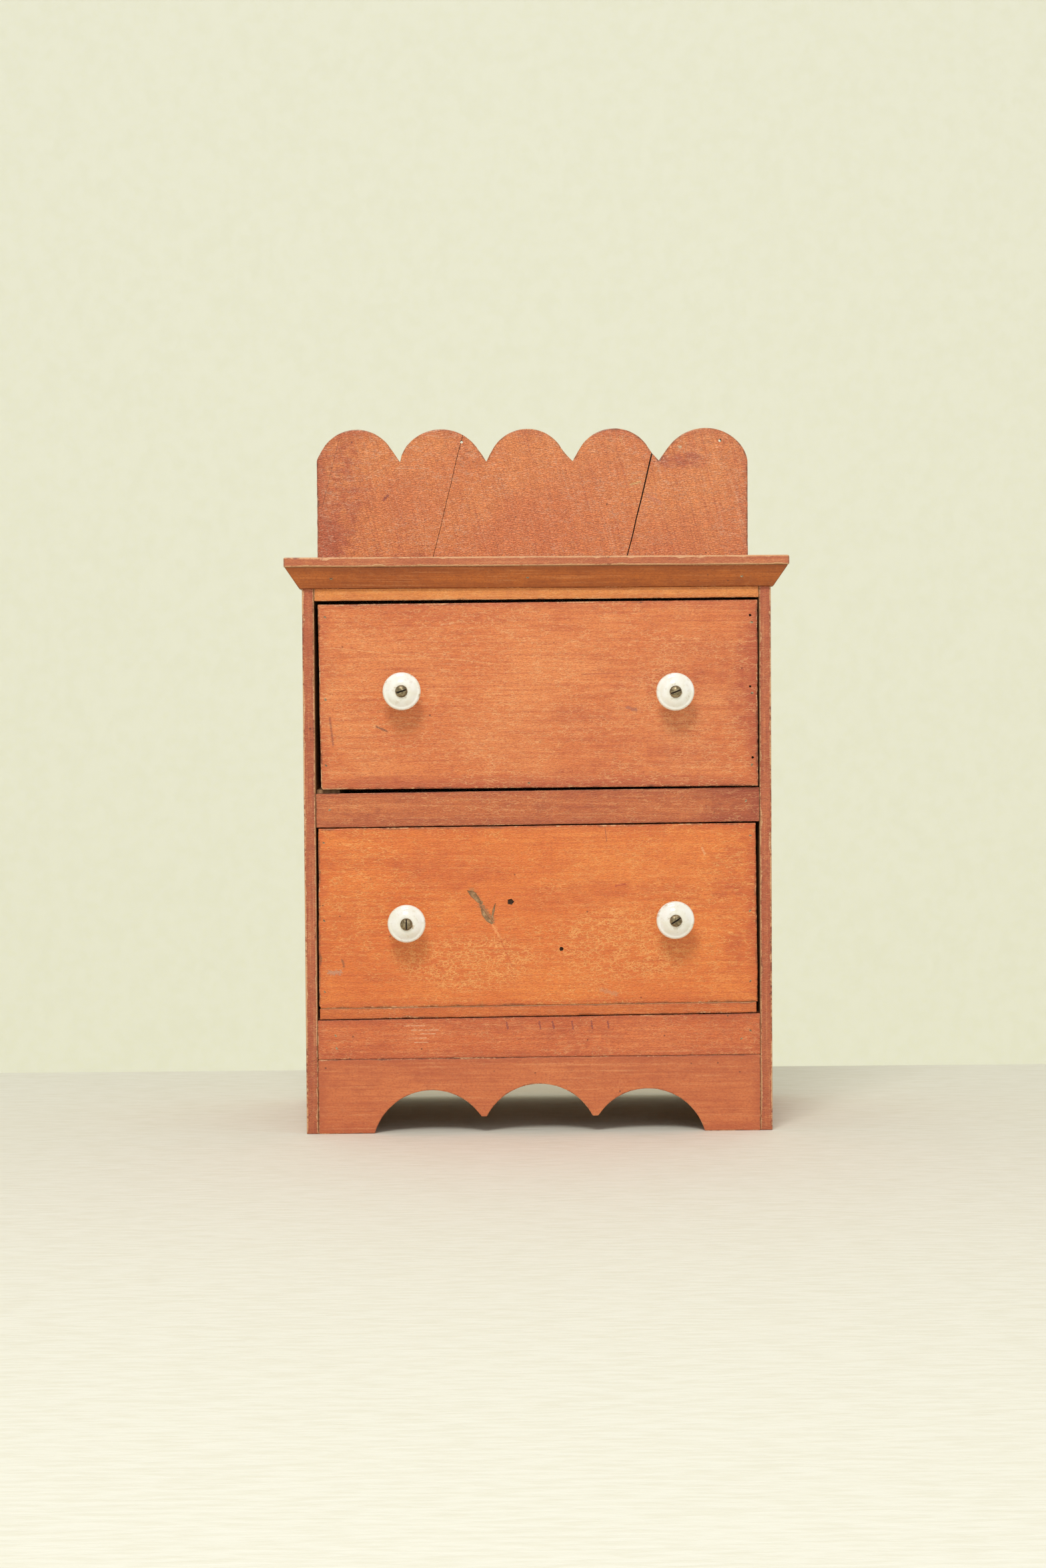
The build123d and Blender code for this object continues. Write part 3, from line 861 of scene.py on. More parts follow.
@dataclass(frozen=True)
class Edges:
    """How a board's edges have worn: all in metres."""

    ease: float = 0.7 * MM
    chip: float = 0.9 * MM
    rag: float = 0.15 * MM
    end_rag: float = 0.35 * MM
    corner: float = 1.2 * MM
    band: float = 2.2 * MM
    spacing: float = 2.5 * MM
    steps: int = 4


def room_inside(outline: np.ndarray, inward: np.ndarray) -> np.ndarray:
    """The radius of the largest circle that fits inside an outline and touches it at each point.

    Args:
        outline: the closed outline.
        inward: the unit direction inward at each point.

    Returns:
        The radii. Points moved inward by less than this never pass each other.
    """
    gaps = outline[None, :, :] - outline[:, None, :]
    reach = np.einsum("ijk,ik->ij", gaps, inward)
    square = (gaps**2).sum(axis=2)
    radii = np.where(reach > 1e-7, square / np.maximum(2 * reach, 1e-9), 1.0)
    return radii.min(axis=1)


def rubbed(at: Vector, per_mm: float, seed: float) -> float:
    """Smooth noise from 0 to 1 at a place."""
    return 0.5 + 0.5 * noise.noise(at * (per_mm / MM) + Vector((seed, seed * 0.7, -seed)))


def board_mesh(name: str, face: Face, edges: Edges, seed: float) -> bpy.types.Mesh:
    """Build a board with eased, rubbed and chipped edges from its broad face.

    Args:
        name: the mesh's name.
        face: the board's broad face.
        edges: how its edges have worn.
        seed: moves the wear.

    Returns:
        The closed mesh. Its points carry three numbers: "edge" is 1 at the arrises, "side" is 1
        down the edge faces, and "raw" is 1 on the hidden broad face.
    """
    outline = resample(face.outline, edges.spacing, edges.corner)
    ahead, behind = np.roll(outline, -1, axis=0), np.roll(outline, 1, axis=0)
    run = ahead - behind
    run = run / np.linalg.norm(run, axis=1, keepdims=True)
    inward = np.stack([-run[:, 1], run[:, 0]], axis=1)
    front, back = [], []
    for i, point in enumerate(outline):
        at = face.place(point, 0.0)
        rag = edges.end_rag if abs(inward[i][0]) > 0.8 else edges.rag
        outline[i] = point + inward[i] * rag * rubbed(at, 0.35, seed) * 2 * rubbed(at, 0.05, seed + 9)
    room = room_inside(outline, inward) * 0.85
    for i, point in enumerate(outline):
        at = face.place(point, 0.0)
        most = min(room[i] * 0.6, face.thickness * 0.35)
        for radii, shift in ((front, 0.0), (back, 20.0)):
            chip = max(0.0, rubbed(at, 0.12, seed + shift) - 0.62) * 4.0 * edges.chip
            radii.append(min(edges.ease * (0.5 + rubbed(at, 0.04, seed + shift + 3)) + chip, most))
    arris = [math.radians(90 * k / edges.steps) for k in range(edges.steps + 1)]
    bevel = [(1 - math.sin(a), 1 - math.cos(a)) for a in arris]
    flat = [face.thickness - a - b for a, b in zip(front, back)]
    band = [min(edges.band * 0.6, 0.3 * f) for f in flat]

    shape = bmesh.new()
    layers = [shape.verts.layers.float.new(layer) for layer in ("edge", "side", "raw")]
    rings = []

    def ring(inset: list[float], depth: list[float], *values: float) -> None:
        """Add a ring of points round the board, each at its own inset and depth."""
        verts = []
        for i, point in enumerate(outline):
            vert = shape.verts.new(face.place(point + inward[i] * inset[i], depth[i]))
            for layer, value in zip(layers, values):
                vert[layer] = value
            verts.append(vert)
        rings.append(verts)

    zeros = [0.0] * len(outline)
    ring([min(r + edges.band, most) for r, most in zip(front, room)], zeros, 0.0, 0.0, 0.0)
    for out, down in bevel:
        ring([r * out for r in front], [r * down for r in front], 1.0, down, 0.0)
    ring(zeros, [r + b for r, b in zip(front, band)], 0.0, 1.0, 0.0)
    ring(zeros, [face.thickness - r - b for r, b in zip(back, band)], 0.0, 1.0, 0.0)
    for out, down in reversed(bevel):
        ring([r * out for r in back], [face.thickness - r * down for r in back], 1.0, 1.0, 1.0 - down)
    floor = [face.thickness] * len(outline)
    ring([min(r + edges.band, most) for r, most in zip(back, room)], floor, 0.0, 0.0, 1.0)

    count = len(outline)
    for upper, lower in zip(rings, rings[1:]):
        for i in range(count):
            j = (i + 1) % count
            shape.faces.new((upper[i], lower[i], lower[j], upper[j]))
    shape.faces.new(rings[0])
    shape.faces.new(list(reversed(rings[-1])))
    return as_mesh(name, shape)


def prism(name: str, points: list[Vector], along: Vector, material: bpy.types.Material) -> bpy.types.Object:
    """A closed prism, for cutting.

    Args:
        name: the cutter's name.
        points: one end's corners, in order.
        along: from that end to the other.
        material: what the cut's walls show.

    Returns:
        The cutter.
    """
    shape = bmesh.new()
    near = [shape.verts.new(p) for p in points]
    far = [shape.verts.new(p + along) for p in points]
    shape.faces.new(near)
    shape.faces.new(list(reversed(far)))
    for i in range(len(points)):
        j = (i + 1) % len(points)
        shape.faces.new((near[j], near[i], far[i], far[j]))
    bmesh.ops.recalc_face_normals(shape, faces=shape.faces)
    mesh = as_mesh(name, shape)
    mesh.materials.append(material)
    return linked(name, mesh)


def plain_mesh(piece: bpy.types.Object) -> None:
    """Turn a piece's modifiers into its mesh."""
    bpy.context.view_layer.update()
    evaluated = piece.evaluated_get(bpy.context.evaluated_depsgraph_get())
    baked = bpy.data.meshes.new_from_object(evaluated)
    piece.modifiers.clear()
    old = piece.data
    piece.data = baked
    bpy.data.meshes.remove(old)


def carve(piece: bpy.types.Object, cutters: list[bpy.types.Object]) -> None:
    """Cut holes in a piece, and remove the cutters.

    Args:
        piece: the piece.
        cutters: the closed shapes to take out of it.
    """
    for cutter in cutters:
        cut = piece.modifiers.new(cutter.name, "BOOLEAN")
        cut.operation, cut.solver, cut.object = "DIFFERENCE", "EXACT", cutter
        cut.material_mode = "TRANSFER"
    plain_mesh(piece)
    for cutter in cutters:
        mesh = cutter.data
        bpy.data.objects.remove(cutter)
        bpy.data.meshes.remove(mesh)
    smooth(piece.data)


def round_points(
    centre: Vector, radius: float, u: Vector, v: Vector, count: int, uneven: float
) -> list[Vector]:
    """Points round a slightly uneven circle.

    Args:
        centre: its centre.
        radius: its radius.
        u: one direction in its plane.
        v: the other.
        count: how many points.
        uneven: how far the radius strays, as a share.

    Returns:
        The points, in order.
    """
    made = []
    for i in range(count):
        a = 2 * math.pi * i / count
        r = radius * (1 + uneven * math.sin(3 * a + radius * 9e3) + uneven * math.sin(5 * a))
        made.append(centre + u * (r * math.cos(a)) + v * (r * math.sin(a)))
    return made


def fractions(count: int) -> list[float]:
    """Even steps that end at 1, without the 0."""
    return [k / count for k in range(1, count + 1)]


def turned_mesh(
    name: str,
    origin: Vector,
    axis: Vector,
    profile: list[tuple[float, float]],
    count: int,
    wobble: float = 0.0,
) -> bpy.types.Mesh:
    """Turn a profile about an axis.

    Args:
        name: the mesh's name.
        origin: the axis's start.
        axis: its direction.
        profile: (radius, height) pairs from the first pole or rim to the last.
        count: how many steps round.
        wobble: how far the shape is out of true, as a share of the radius.

    Returns:
        The closed mesh. A profile that starts and ends on the axis has poles, and another is a ring.
    """
    u, v = face_axes(axis)
    shape = bmesh.new()
    rings = []
    for radius, height in profile:
        if radius < 1e-7:
            rings.append([shape.verts.new(origin + axis * height)] * count)
            continue
        verts = []
        for i in range(count):
            a = 2 * math.pi * i / count
            r = radius * (1 + wobble * math.sin(2 * a + 1) + wobble * 0.6 * math.sin(3 * a))
            round_axis = u * (r * math.cos(a)) + v * (r * math.sin(a))
            verts.append(shape.verts.new(origin + axis * height + round_axis))
        rings.append(verts)
    if profile[0][0] > 1e-7:
        rings.append(rings[0])
    for lower, upper in zip(rings, rings[1:]):
        for i in range(count):
            j = (i + 1) % count
            corners = []
            for vert in (lower[i], lower[j], upper[j], upper[i]):
                if vert not in corners:
                    corners.append(vert)
            shape.faces.new(corners)
    bmesh.ops.recalc_face_normals(shape, faces=shape.faces)
    return as_mesh(name, shape)


def loose_parts(node: str) -> list[np.ndarray]:
    """The points of each separate solid of a CAD node, from left to right and low to high."""
    shape = merged_copy(node)
    seen, parts = set(), []
    for start in shape.verts:
        if start in seen:
            continue
        queue, part = [start], []
        seen.add(start)
        while queue:
            vert = queue.pop()
            part.append(vert.co[:])
            for edge in vert.link_edges:
                other = edge.other_vert(vert)
                if other not in seen:
                    seen.add(other)
                    queue.append(other)
        parts.append(np.array(part))
    shape.free()
    return sorted(parts, key=lambda p: (round(float(p[:, 0].mean()), 3), float(p[:, 2].mean())))


# ---------------------------------------------------------------- boards


@dataclass
class Board:
    """A flat board that stands for a CAD node of the same name."""

    node: str
    body: str
    outward: Vector
    grain: Grain
    finish: StainedPine | BarePine
    edges: Edges = Edges()
    nets: tuple[Patch, ...] = ()
    deeps: tuple[Patch, ...] = ()
    pales: tuple[Patch, ...] = ()
    strokes: tuple[Stroke, ...] = ()

    def seed(self) -> float:
        """A number of the board's own, the same on each run."""
        return (sum(ord(c) * (i + 1) for i, c in enumerate(self.node)) % 977) * 0.37

    def dress(self) -> bpy.types.Material:
        """Make the board's finish."""
        name = f"{self.node}_finish"
        if isinstance(self.finish, BarePine):
            return self.finish.dress(name, self.grain, self.seed())
        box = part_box(self.node)
        marks = (self.nets, self.deeps, self.pales, self.strokes)
        return self.finish.dress(name, box, self.grain, self.seed(), *marks)

    def make(self, holes: list[bpy.types.Object] | None = None) -> bpy.types.Object:
        """Build the board, cut its holes and hand it over.

        Args:
            holes: the cutters for its holes and gouges.

        Returns:
            The piece.
        """
        face = broad_face(self.node, self.outward)
        mesh = board_mesh(f"{self.node}_board", face, self.edges, self.seed())
        piece = new_piece(f"{self.node}_board", mesh, self.dress())
        if holes:
            carve(piece, holes)
        return give(piece, self.body, self.finish.slot, self.node)


@dataclass
class Moulding:
    """A mitred length of bevelled moulding, eased along its arrises."""

    node: str
    finish: StainedPine
    grain: Grain
    ease: float = 0.35 * MM
    band: float = 1.4 * MM
    slice_length: float = 5 * MM
    nibble: float = 0.25 * MM
    seed: float = 41.0

    def make(self) -> bpy.types.Object:
        """Build the moulding from its CAD node and hand it over."""
        shape = merged_copy(self.node)
        bmesh.ops.dissolve_limit(
            shape, angle_limit=math.radians(1), verts=shape.verts, edges=shape.edges, delimit=set()
        )
        bmesh.ops.bevel(
            shape, geom=shape.edges[:], offset=self.ease, segments=3, profile=0.5, affect="EDGES"
        )
        rim = shape.verts.layers.float.new("edge")
        for vert in shape.verts:
            vert[rim] = 1.0
        broad = [f for f in shape.faces if f.calc_area() > 100 * MM * MM]
        ringed = {vert for face in broad for vert in face.verts}
        bmesh.ops.inset_individual(shape, faces=broad, thickness=self.band, use_even_offset=True)
        for face in broad:
            for vert in face.verts:
                if vert not in ringed:
                    vert[rim] = 0.0
        low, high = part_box(self.node)
        axis = 0 if high.x - low.x > high.y - low.y else 1
        normal = RIGHTWARD if axis == 0 else BACKWARD
        for k in range(1, int((high[axis] - low[axis]) / self.slice_length)):
            at = normal * (low[axis] + k * self.slice_length)
            geom = shape.verts[:] + shape.edges[:] + shape.faces[:]
            bmesh.ops.bisect_plane(shape, geom=geom, plane_co=at, plane_no=normal, dist=1e-6)
        shape.normal_update()
        for vert in shape.verts:
            if vert[rim] > 0.5:
                vert.co -= vert.normal * self.nibble * rubbed(vert.co, 0.3, 4.0)
        mesh = as_mesh(f"{self.node}_length", shape)
        material = self.finish.dress(f"{self.node}_finish", (low, high), self.grain, self.seed)
        piece = new_piece(f"{self.node}_length", mesh, material)
        return give(piece, "carcass", self.finish.slot, self.node)


# ---------------------------------------------------------------- nails


@dataclass
class NailGroup:
    """The nails of one CAD node, each with its own tilt and wear, made by Geometry Nodes."""

    node: str
    body: str
    head_radius: float = 1.1 * MM
    head_thick: float = 0.5 * MM
    shank_radius: float = 0.65 * MM
    length: float = 17 * MM
    sunk: float = 0.15 * MM
    tilt: float = 0.10
    smallest: float = 0.85
    seed: int = 7

    def seats(self) -> tuple[list[Vector], list[Vector]]:
        """Where each nail's head is, and which way it looks, read from the CAD node."""
        points, looks = [], []
        for part in loose_parts(self.node):
            middle = (part.max(0) + part.min(0)) / 2
            axis = int(np.argmax(part.max(0) - part.min(0)))
            across = [i for i in range(3) if i != axis]
            low, high = part[:, axis].min(), part[:, axis].max()
            near_low = part[part[:, axis] < low + 2 * self.head_thick]
            near_high = part[part[:, axis] > high - 2 * self.head_thick]
            spread = [np.abs(end[:, across] - middle[across]).max() for end in (near_low, near_high)]
            head = middle.copy()
            head[axis] = low if spread[0] > spread[1] else high
            look = Vector()
            look[axis] = -1.0 if spread[0] > spread[1] else 1.0
            points.append(Vector(head) - look * self.sunk)
            looks.append(look)
        return points, looks

    def tree(self, material: bpy.types.Material) -> bpy.types.NodeTree:
        """Build the node tree that sets a nail at each point.

        Args:
            material: the nails' finish.

        Returns:
            The tree, with named inputs for the nail's sizes.
        """
        tree = bpy.data.node_groups.new(f"{self.node}_tree", "GeometryNodeTree")
        tree.interface.new_socket("Seats", in_out="INPUT", socket_type="NodeSocketGeometry")
        for name in ("Head Radius", "Head Thickness", "Shank Radius", "Length"):
            tree.interface.new_socket(name, in_out="INPUT", socket_type="NodeSocketFloat")
        tree.interface.new_socket("Seed", in_out="INPUT", socket_type="NodeSocketInt")
        tree.interface.new_socket("Nails", in_out="OUTPUT", socket_type="NodeSocketGeometry")
        new, link = tree.nodes.new, tree.links.new
        given, out = new("NodeGroupInput"), new("NodeGroupOutput")
        parts = []
        for radius, depth, sides in (("Head Radius", "Head Thickness", 14), ("Shank Radius", "Length", 8)):
            rod = new("GeometryNodeMeshCylinder")
            rod.inputs["Vertices"].default_value = sides
            link(given.outputs[radius], rod.inputs["Radius"])
            link(given.outputs[depth], rod.inputs["Depth"])
            half = new("ShaderNodeMath")
            half.operation = "MULTIPLY"
            half.inputs[1].default_value = -0.5
            link(given.outputs[depth], half.inputs[0])
            down = new("ShaderNodeCombineXYZ")
            link(half.outputs[0], down.inputs["Z"])
            move = new("GeometryNodeTransform")
            link(rod.outputs["Mesh"], move.inputs["Geometry"])
            link(down.outputs[0], move.inputs["Translation"])
            parts.append(move)
        nail = new("GeometryNodeJoinGeometry")
        for part in parts:
            link(part.outputs[0], nail.inputs[0])
        look = new("GeometryNodeInputNamedAttribute")
        look.data_type = "FLOAT_VECTOR"
        look.inputs["Name"].default_value = "look"
        tilt = new("FunctionNodeRandomValue")
        tilt.data_type = "FLOAT_VECTOR"
        tilt.inputs["Min"].default_value = (-self.tilt,) * 3
        tilt.inputs["Max"].default_value = (self.tilt,) * 3
        link(given.outputs["Seed"], tilt.inputs["Seed"])
        lean = new("ShaderNodeVectorMath")
        link(look.outputs[0], lean.inputs[0])
        link(tilt.outputs[0], lean.inputs[1])
        align = new("FunctionNodeAlignRotationToVector")
        align.axis = "Z"
        link(lean.outputs[0], align.inputs["Vector"])
        size = new("FunctionNodeRandomValue")
        size.inputs[2].default_value, size.inputs[3].default_value = self.smallest, 1.0
        link(given.outputs["Seed"], size.inputs["Seed"])
        instance = new("GeometryNodeInstanceOnPoints")
        link(given.outputs["Seats"], instance.inputs["Points"])
        link(nail.outputs[0], instance.inputs["Instance"])
        link(align.outputs[0], instance.inputs["Rotation"])
        link(size.outputs[1], instance.inputs["Scale"])
        realize, paint = new("GeometryNodeRealizeInstances"), new("GeometryNodeSetMaterial")
        paint.inputs["Material"].default_value = material
        link(instance.outputs[0], realize.inputs[0])
        link(realize.outputs[0], paint.inputs["Geometry"])
        link(paint.outputs[0], out.inputs[0])
        return tree

    def make(self, finish: Metal) -> bpy.types.Object:
        """Build the nails and hand them over.

        Args:
            finish: the nails' metal.

        Returns:
            The piece.
        """
        points, looks = self.seats()
        mesh = bpy.data.meshes.new(f"{self.node}_set")
        mesh.from_pydata(points, [], [])
        outward = mesh.attributes.new("look", "FLOAT_VECTOR", "POINT")
        outward.data.foreach_set("vector", [c for look in looks for c in look])
        piece = linked(f"{self.node}_set", mesh)
        tree = self.tree(finish.dress(f"{self.node}_finish", float(self.seed)))
        modifier = piece.modifiers.new("nails", "NODES")
        modifier.node_group = tree
        sockets = {s.name: s.identifier for s in tree.interface.items_tree if s.in_out == "INPUT"}
        modifier[sockets["Head Radius"]] = self.head_radius
        modifier[sockets["Head Thickness"]] = self.head_thick
        modifier[sockets["Shank Radius"]] = self.shank_radius
        modifier[sockets["Length"]] = self.length
        modifier[sockets["Seed"]] = self.seed
        plain_mesh(piece)
        return give(piece, self.body, finish.slot, self.node)


# ---------------------------------------------------------------- finishes in use


# In these finishes, the number for the edge faces sets how strongly painted shade darkens them in the gaps.
UPPER_FRONT = StainedPine(crazing=0.6, gap_shade=0.6)
LOWER_FRONT = StainedPine(
    pale=tint(240, 138, 62),
    middle=tint(231, 124, 54),
    deep=tint(202, 96, 47),
    line=tint(252, 182, 108),
    crazing=0.75,
    wear=-0.05,
    gap_shade=0.6,
)
LOWER_STRIP = StainedPine(
    pale=tint(233, 132, 59),
    middle=tint(222, 116, 52),
    deep=tint(190, 90, 45),
    crazing=0.3,
    wear=-0.1,
    reach=4.0,
    slot="bare_pine",
)
RAILS = StainedPine(
    pale=tint(211, 120, 66),
    middle=tint(201, 109, 59),
    deep=tint(164, 77, 48),
    deep_share=0.55,
    crazing=0.45,
    wear=-0.1,
    gap_shade=0.75,
    slot="case_wood",
)
TOP_RAIL = StainedPine(
    pale=tint(243, 158, 76),
    middle=tint(234, 147, 69),
    deep=tint(202, 112, 56),
    line=tint(252, 196, 132),
    crazing=0.35,
    wear=0.0,
    gap_shade=0.5,
    slot="case_wood",
)
BOTTOM = StainedPine(
    pale=tint(228, 127, 69),
    middle=tint(218, 114, 59),
    deep=tint(182, 84, 50),
    deep_share=0.5,
    crazing=0.45,
    wear=-0.1,
    gap_shade=0.75,
    slot="case_wood",
)
APRON = StainedPine(
    pale=tint(215, 123, 70),
    middle=tint(206, 113, 64),
    deep=tint(177, 86, 52),
    crazing=0.15,
    alligator=0.1,
    wear=0.0,
    gap_shade=0.3,
    slot="case_wood",
)
CASE = StainedPine(
    pale=tint(218, 125, 74),
    middle=tint(202, 108, 65),
    deep=tint(161, 78, 52),
    deep_share=0.6,
    crazing=0.3,
    wear=0.25,
    slot="case_wood",
)
# Darker and browner than the other boards: partly the moulding's own tone, partly painted shade on its bevel,
# which faces down.
CROWN = StainedPine(
    pale=tint(204, 112, 41),
    middle=tint(187, 98, 34),
    deep=tint(148, 72, 27),
    deep_share=0.4,
    crazing=0.1,
    alligator=0.1,
    wear=-0.05,
    slot="case_wood",
)
TOP = StainedPine(
    pale=tint(222, 134, 81),
    middle=tint(208, 119, 70),
    deep=tint(168, 86, 55),
    crazing=0.25,
    wear=0.5,
    slot="case_wood",
)
SPLASH = StainedPine(
    pale=tint(248, 156, 85),
    middle=tint(239, 142, 78),
    deep=tint(203, 107, 65),
    # Near white: the crack and streak lines are partly the crazed varnish's own pale lines, partly painted
    # highlight for the glints of light on it.
    line=tint(250, 206, 168),
    deep_share=0.5,
    crazing=0.55,
    alligator=0.85,
    wear=-0.1,
    gloss=0.7,
    reach=4.6,
    slot="splash_wood",
)
INSIDE = BarePine()
GLAZE = Porcelain()
BRASS = Metal(tint(172, 156, 124), tint(104, 90, 62), "screw_metal")
IRON = Metal(tint(184, 172, 138), tint(128, 100, 70), "nail_iron", shine=0.4, roughness=0.5)
OPEN_WOOD = Hollow()
SCAR = Hollow(tint(142, 106, 72), tint(188, 150, 108))
SLOT_DIRT = Hollow(tint(44, 34, 24), tint(72, 56, 38))
FLOOR_CLOTH = Backdrop(tint(238, 236, 221), tint(232, 229, 211))
WALL_CLOTH = Backdrop(tint(238, 238, 218), tint(235, 235, 213), glow=0.26)


# ---------------------------------------------------------------- sub-assemblies


@dataclass
class Knob:
    """A turned porcelain knob. Its outline's sizes are shares of its radius and its length."""

    node: str
    body: str
    seed: float
    stain: float
    steps: int = 96
    out_of_true: float = 0.0025
    foot: float = 0.582
    foot_round: float = 0.022
    waist: float = 0.15
    neck: float = 0.45
    flare: float = 0.51
    rim_middle: float = 0.845
    rim_round: float = 0.155
    rim_place: float = 0.72
    rim_half: float = 0.115
    dish: float = 0.52

    def profile(self, radius: float, length: float, bore: float) -> list[tuple[float, float]]:
        """The knob's outline, from its foot over its rim to its face.

        Args:
            radius: the knob's radius.
            length: its length.
            bore: the radius of its hole.

        Returns:
            (radius, height) pairs.
        """
        shares = [(self.foot - self.foot_round, 0.0), (self.foot, 0.03)]
        for t in (0.2, 0.4, 0.6):
            shares.append((self.foot - self.waist * math.sin(math.pi * t), 0.05 + 0.3 * t))
        for t in fractions(8):
            shares.append((self.neck + self.flare * t**1.5, 0.27 + 0.38 * t**1.1))
        for t in fractions(13):
            a = math.radians(-28 + 118 * t)
            across = self.rim_middle + self.rim_round * math.cos(a)
            shares.append((across, self.rim_place + self.rim_half * math.sin(a)))
        rim_top = self.rim_place + self.rim_half
        for t in fractions(8):
            along = rim_top + (1.0 - rim_top) * math.sin(math.pi / 2 * t)
            shares.append((self.rim_middle - self.dish * t, along))
        outline = [(radius * across, length * along) for across, along in shares]
        return [(bore, 0.0), *outline, (bore * 1.15, length), (bore, length * 0.985)]

    def make(self, axis: Vector) -> bpy.types.Object:
        """Turn the knob and hand it over.

        Args:
            axis: which way the drawer's front looks.

        Returns:
            The piece.
        """
        points = loose_parts(self.node)[0]
        u, v = face_axes(axis)
        spans = [points @ np.array(direction) for direction in (u, v, axis)]
        middle_u, middle_v = [(span.max() + span.min()) / 2 for span in spans[:2]]
        base, length = spans[2].min(), spans[2].max() - spans[2].min()
        radius = (spans[0].max() - spans[0].min()) / 2
        bore = np.hypot(spans[0] - middle_u, spans[1] - middle_v).min()
        origin = u * middle_u + v * middle_v + axis * base
        name = f"{self.node}_china"
        profile = self.profile(radius, length, bore)
        mesh = turned_mesh(name, origin, axis, profile, self.steps, self.out_of_true)
        face_middle = origin + axis * length
        material = GLAZE.dress(f"{self.node}_finish", face_middle, self.seed, self.stain)
        return give(new_piece(name, mesh, material), self.body, GLAZE.slot, self.node)


@dataclass
class ScrewPair:
    """The two slotted round-head screws of one drawer."""

    node: str
    body: str
    angles: tuple[float, float]
    slot_width: float = 1.05 * MM
    slot_depth: float = 1.25 * MM
    head_height: float = 2.8 * MM
    head_rim: float = 0.35 * MM
    shank: float = 0.5
    length: float = 25 * MM
    tip_length: float = 3 * MM
    tip_radius: float = 0.4 * MM
    steps: int = 48

    def profile(self, head: float) -> list[tuple[float, float]]:
        """A screw's outline, from its tip to the top of its head.

        Args:
            head: the head's radius.

        Returns:
            (radius, height) pairs.
        """
        shank = head * self.shank
        outline = [(0.0, -self.length), (self.tip_radius, -self.length)]
        outline += [(shank, self.tip_length - self.length), (shank, 0.0)]
        outline += [(head * 0.96, 0.0), (head, self.head_rim)]
        dome = self.head_height - self.head_rim
        for t in fractions(12)[:-1]:
            a = math.pi / 2 * t
            outline.append((head * math.cos(a), self.head_rim + dome * math.sin(a)))
        return [*outline, (0.0, self.head_height)]

    def make(self, axis: Vector) -> bpy.types.Object:
        """Turn both screws, cut their slots and hand them over as one piece.

        Args:
            axis: which way the drawer's front looks.

        Returns:
            The piece.
        """
        u, v = face_axes(axis)
        material = BRASS.dress(f"{self.node}_finish", 3.0)
        slot_dirt = SLOT_DIRT.dress(f"{self.node}_dirt", 6.0)
        made = []
        for number, (points, degrees) in enumerate(zip(loose_parts(self.node), self.angles)):
            spans = [points @ np.array(direction) for direction in (u, v, axis)]
            middle_u, middle_v = [(span.max() + span.min()) / 2 for span in spans[:2]]
            head = (spans[0].max() - spans[0].min()) / 2
            origin = u * middle_u + v * middle_v + axis * (spans[2].max() - self.head_height)
            mesh = turned_mesh("screw", origin, axis, self.profile(head), self.steps)
            screw = new_piece(f"{self.node}_{number}", mesh, material)
            run = math.radians(degrees)
            along = u * math.cos(run) + v * math.sin(run)
            cross = axis.cross(along)
            floor = origin + axis * (self.head_height - self.slot_depth)
            corners = [
                floor + along * (a * 2 * head) + cross * (b * self.slot_width / 2)
                for a, b in ((-1, -1), (1, -1), (1, 1), (-1, 1))
            ]
            carve(screw, [prism("slot", corners, axis * 4 * MM, slot_dirt)])
            made.append(screw)
        shape = bmesh.new()
        for screw in made:
            shape.from_mesh(screw.data)
        mesh = as_mesh(f"{self.node}_pair", shape)
        for finish in made[0].data.materials:
            mesh.materials.append(finish)
        for screw in made:
            bpy.data.objects.remove(screw)
        piece = new_piece(f"{self.node}_pair", mesh, material)
        return give(piece, self.body, BRASS.slot, self.node)


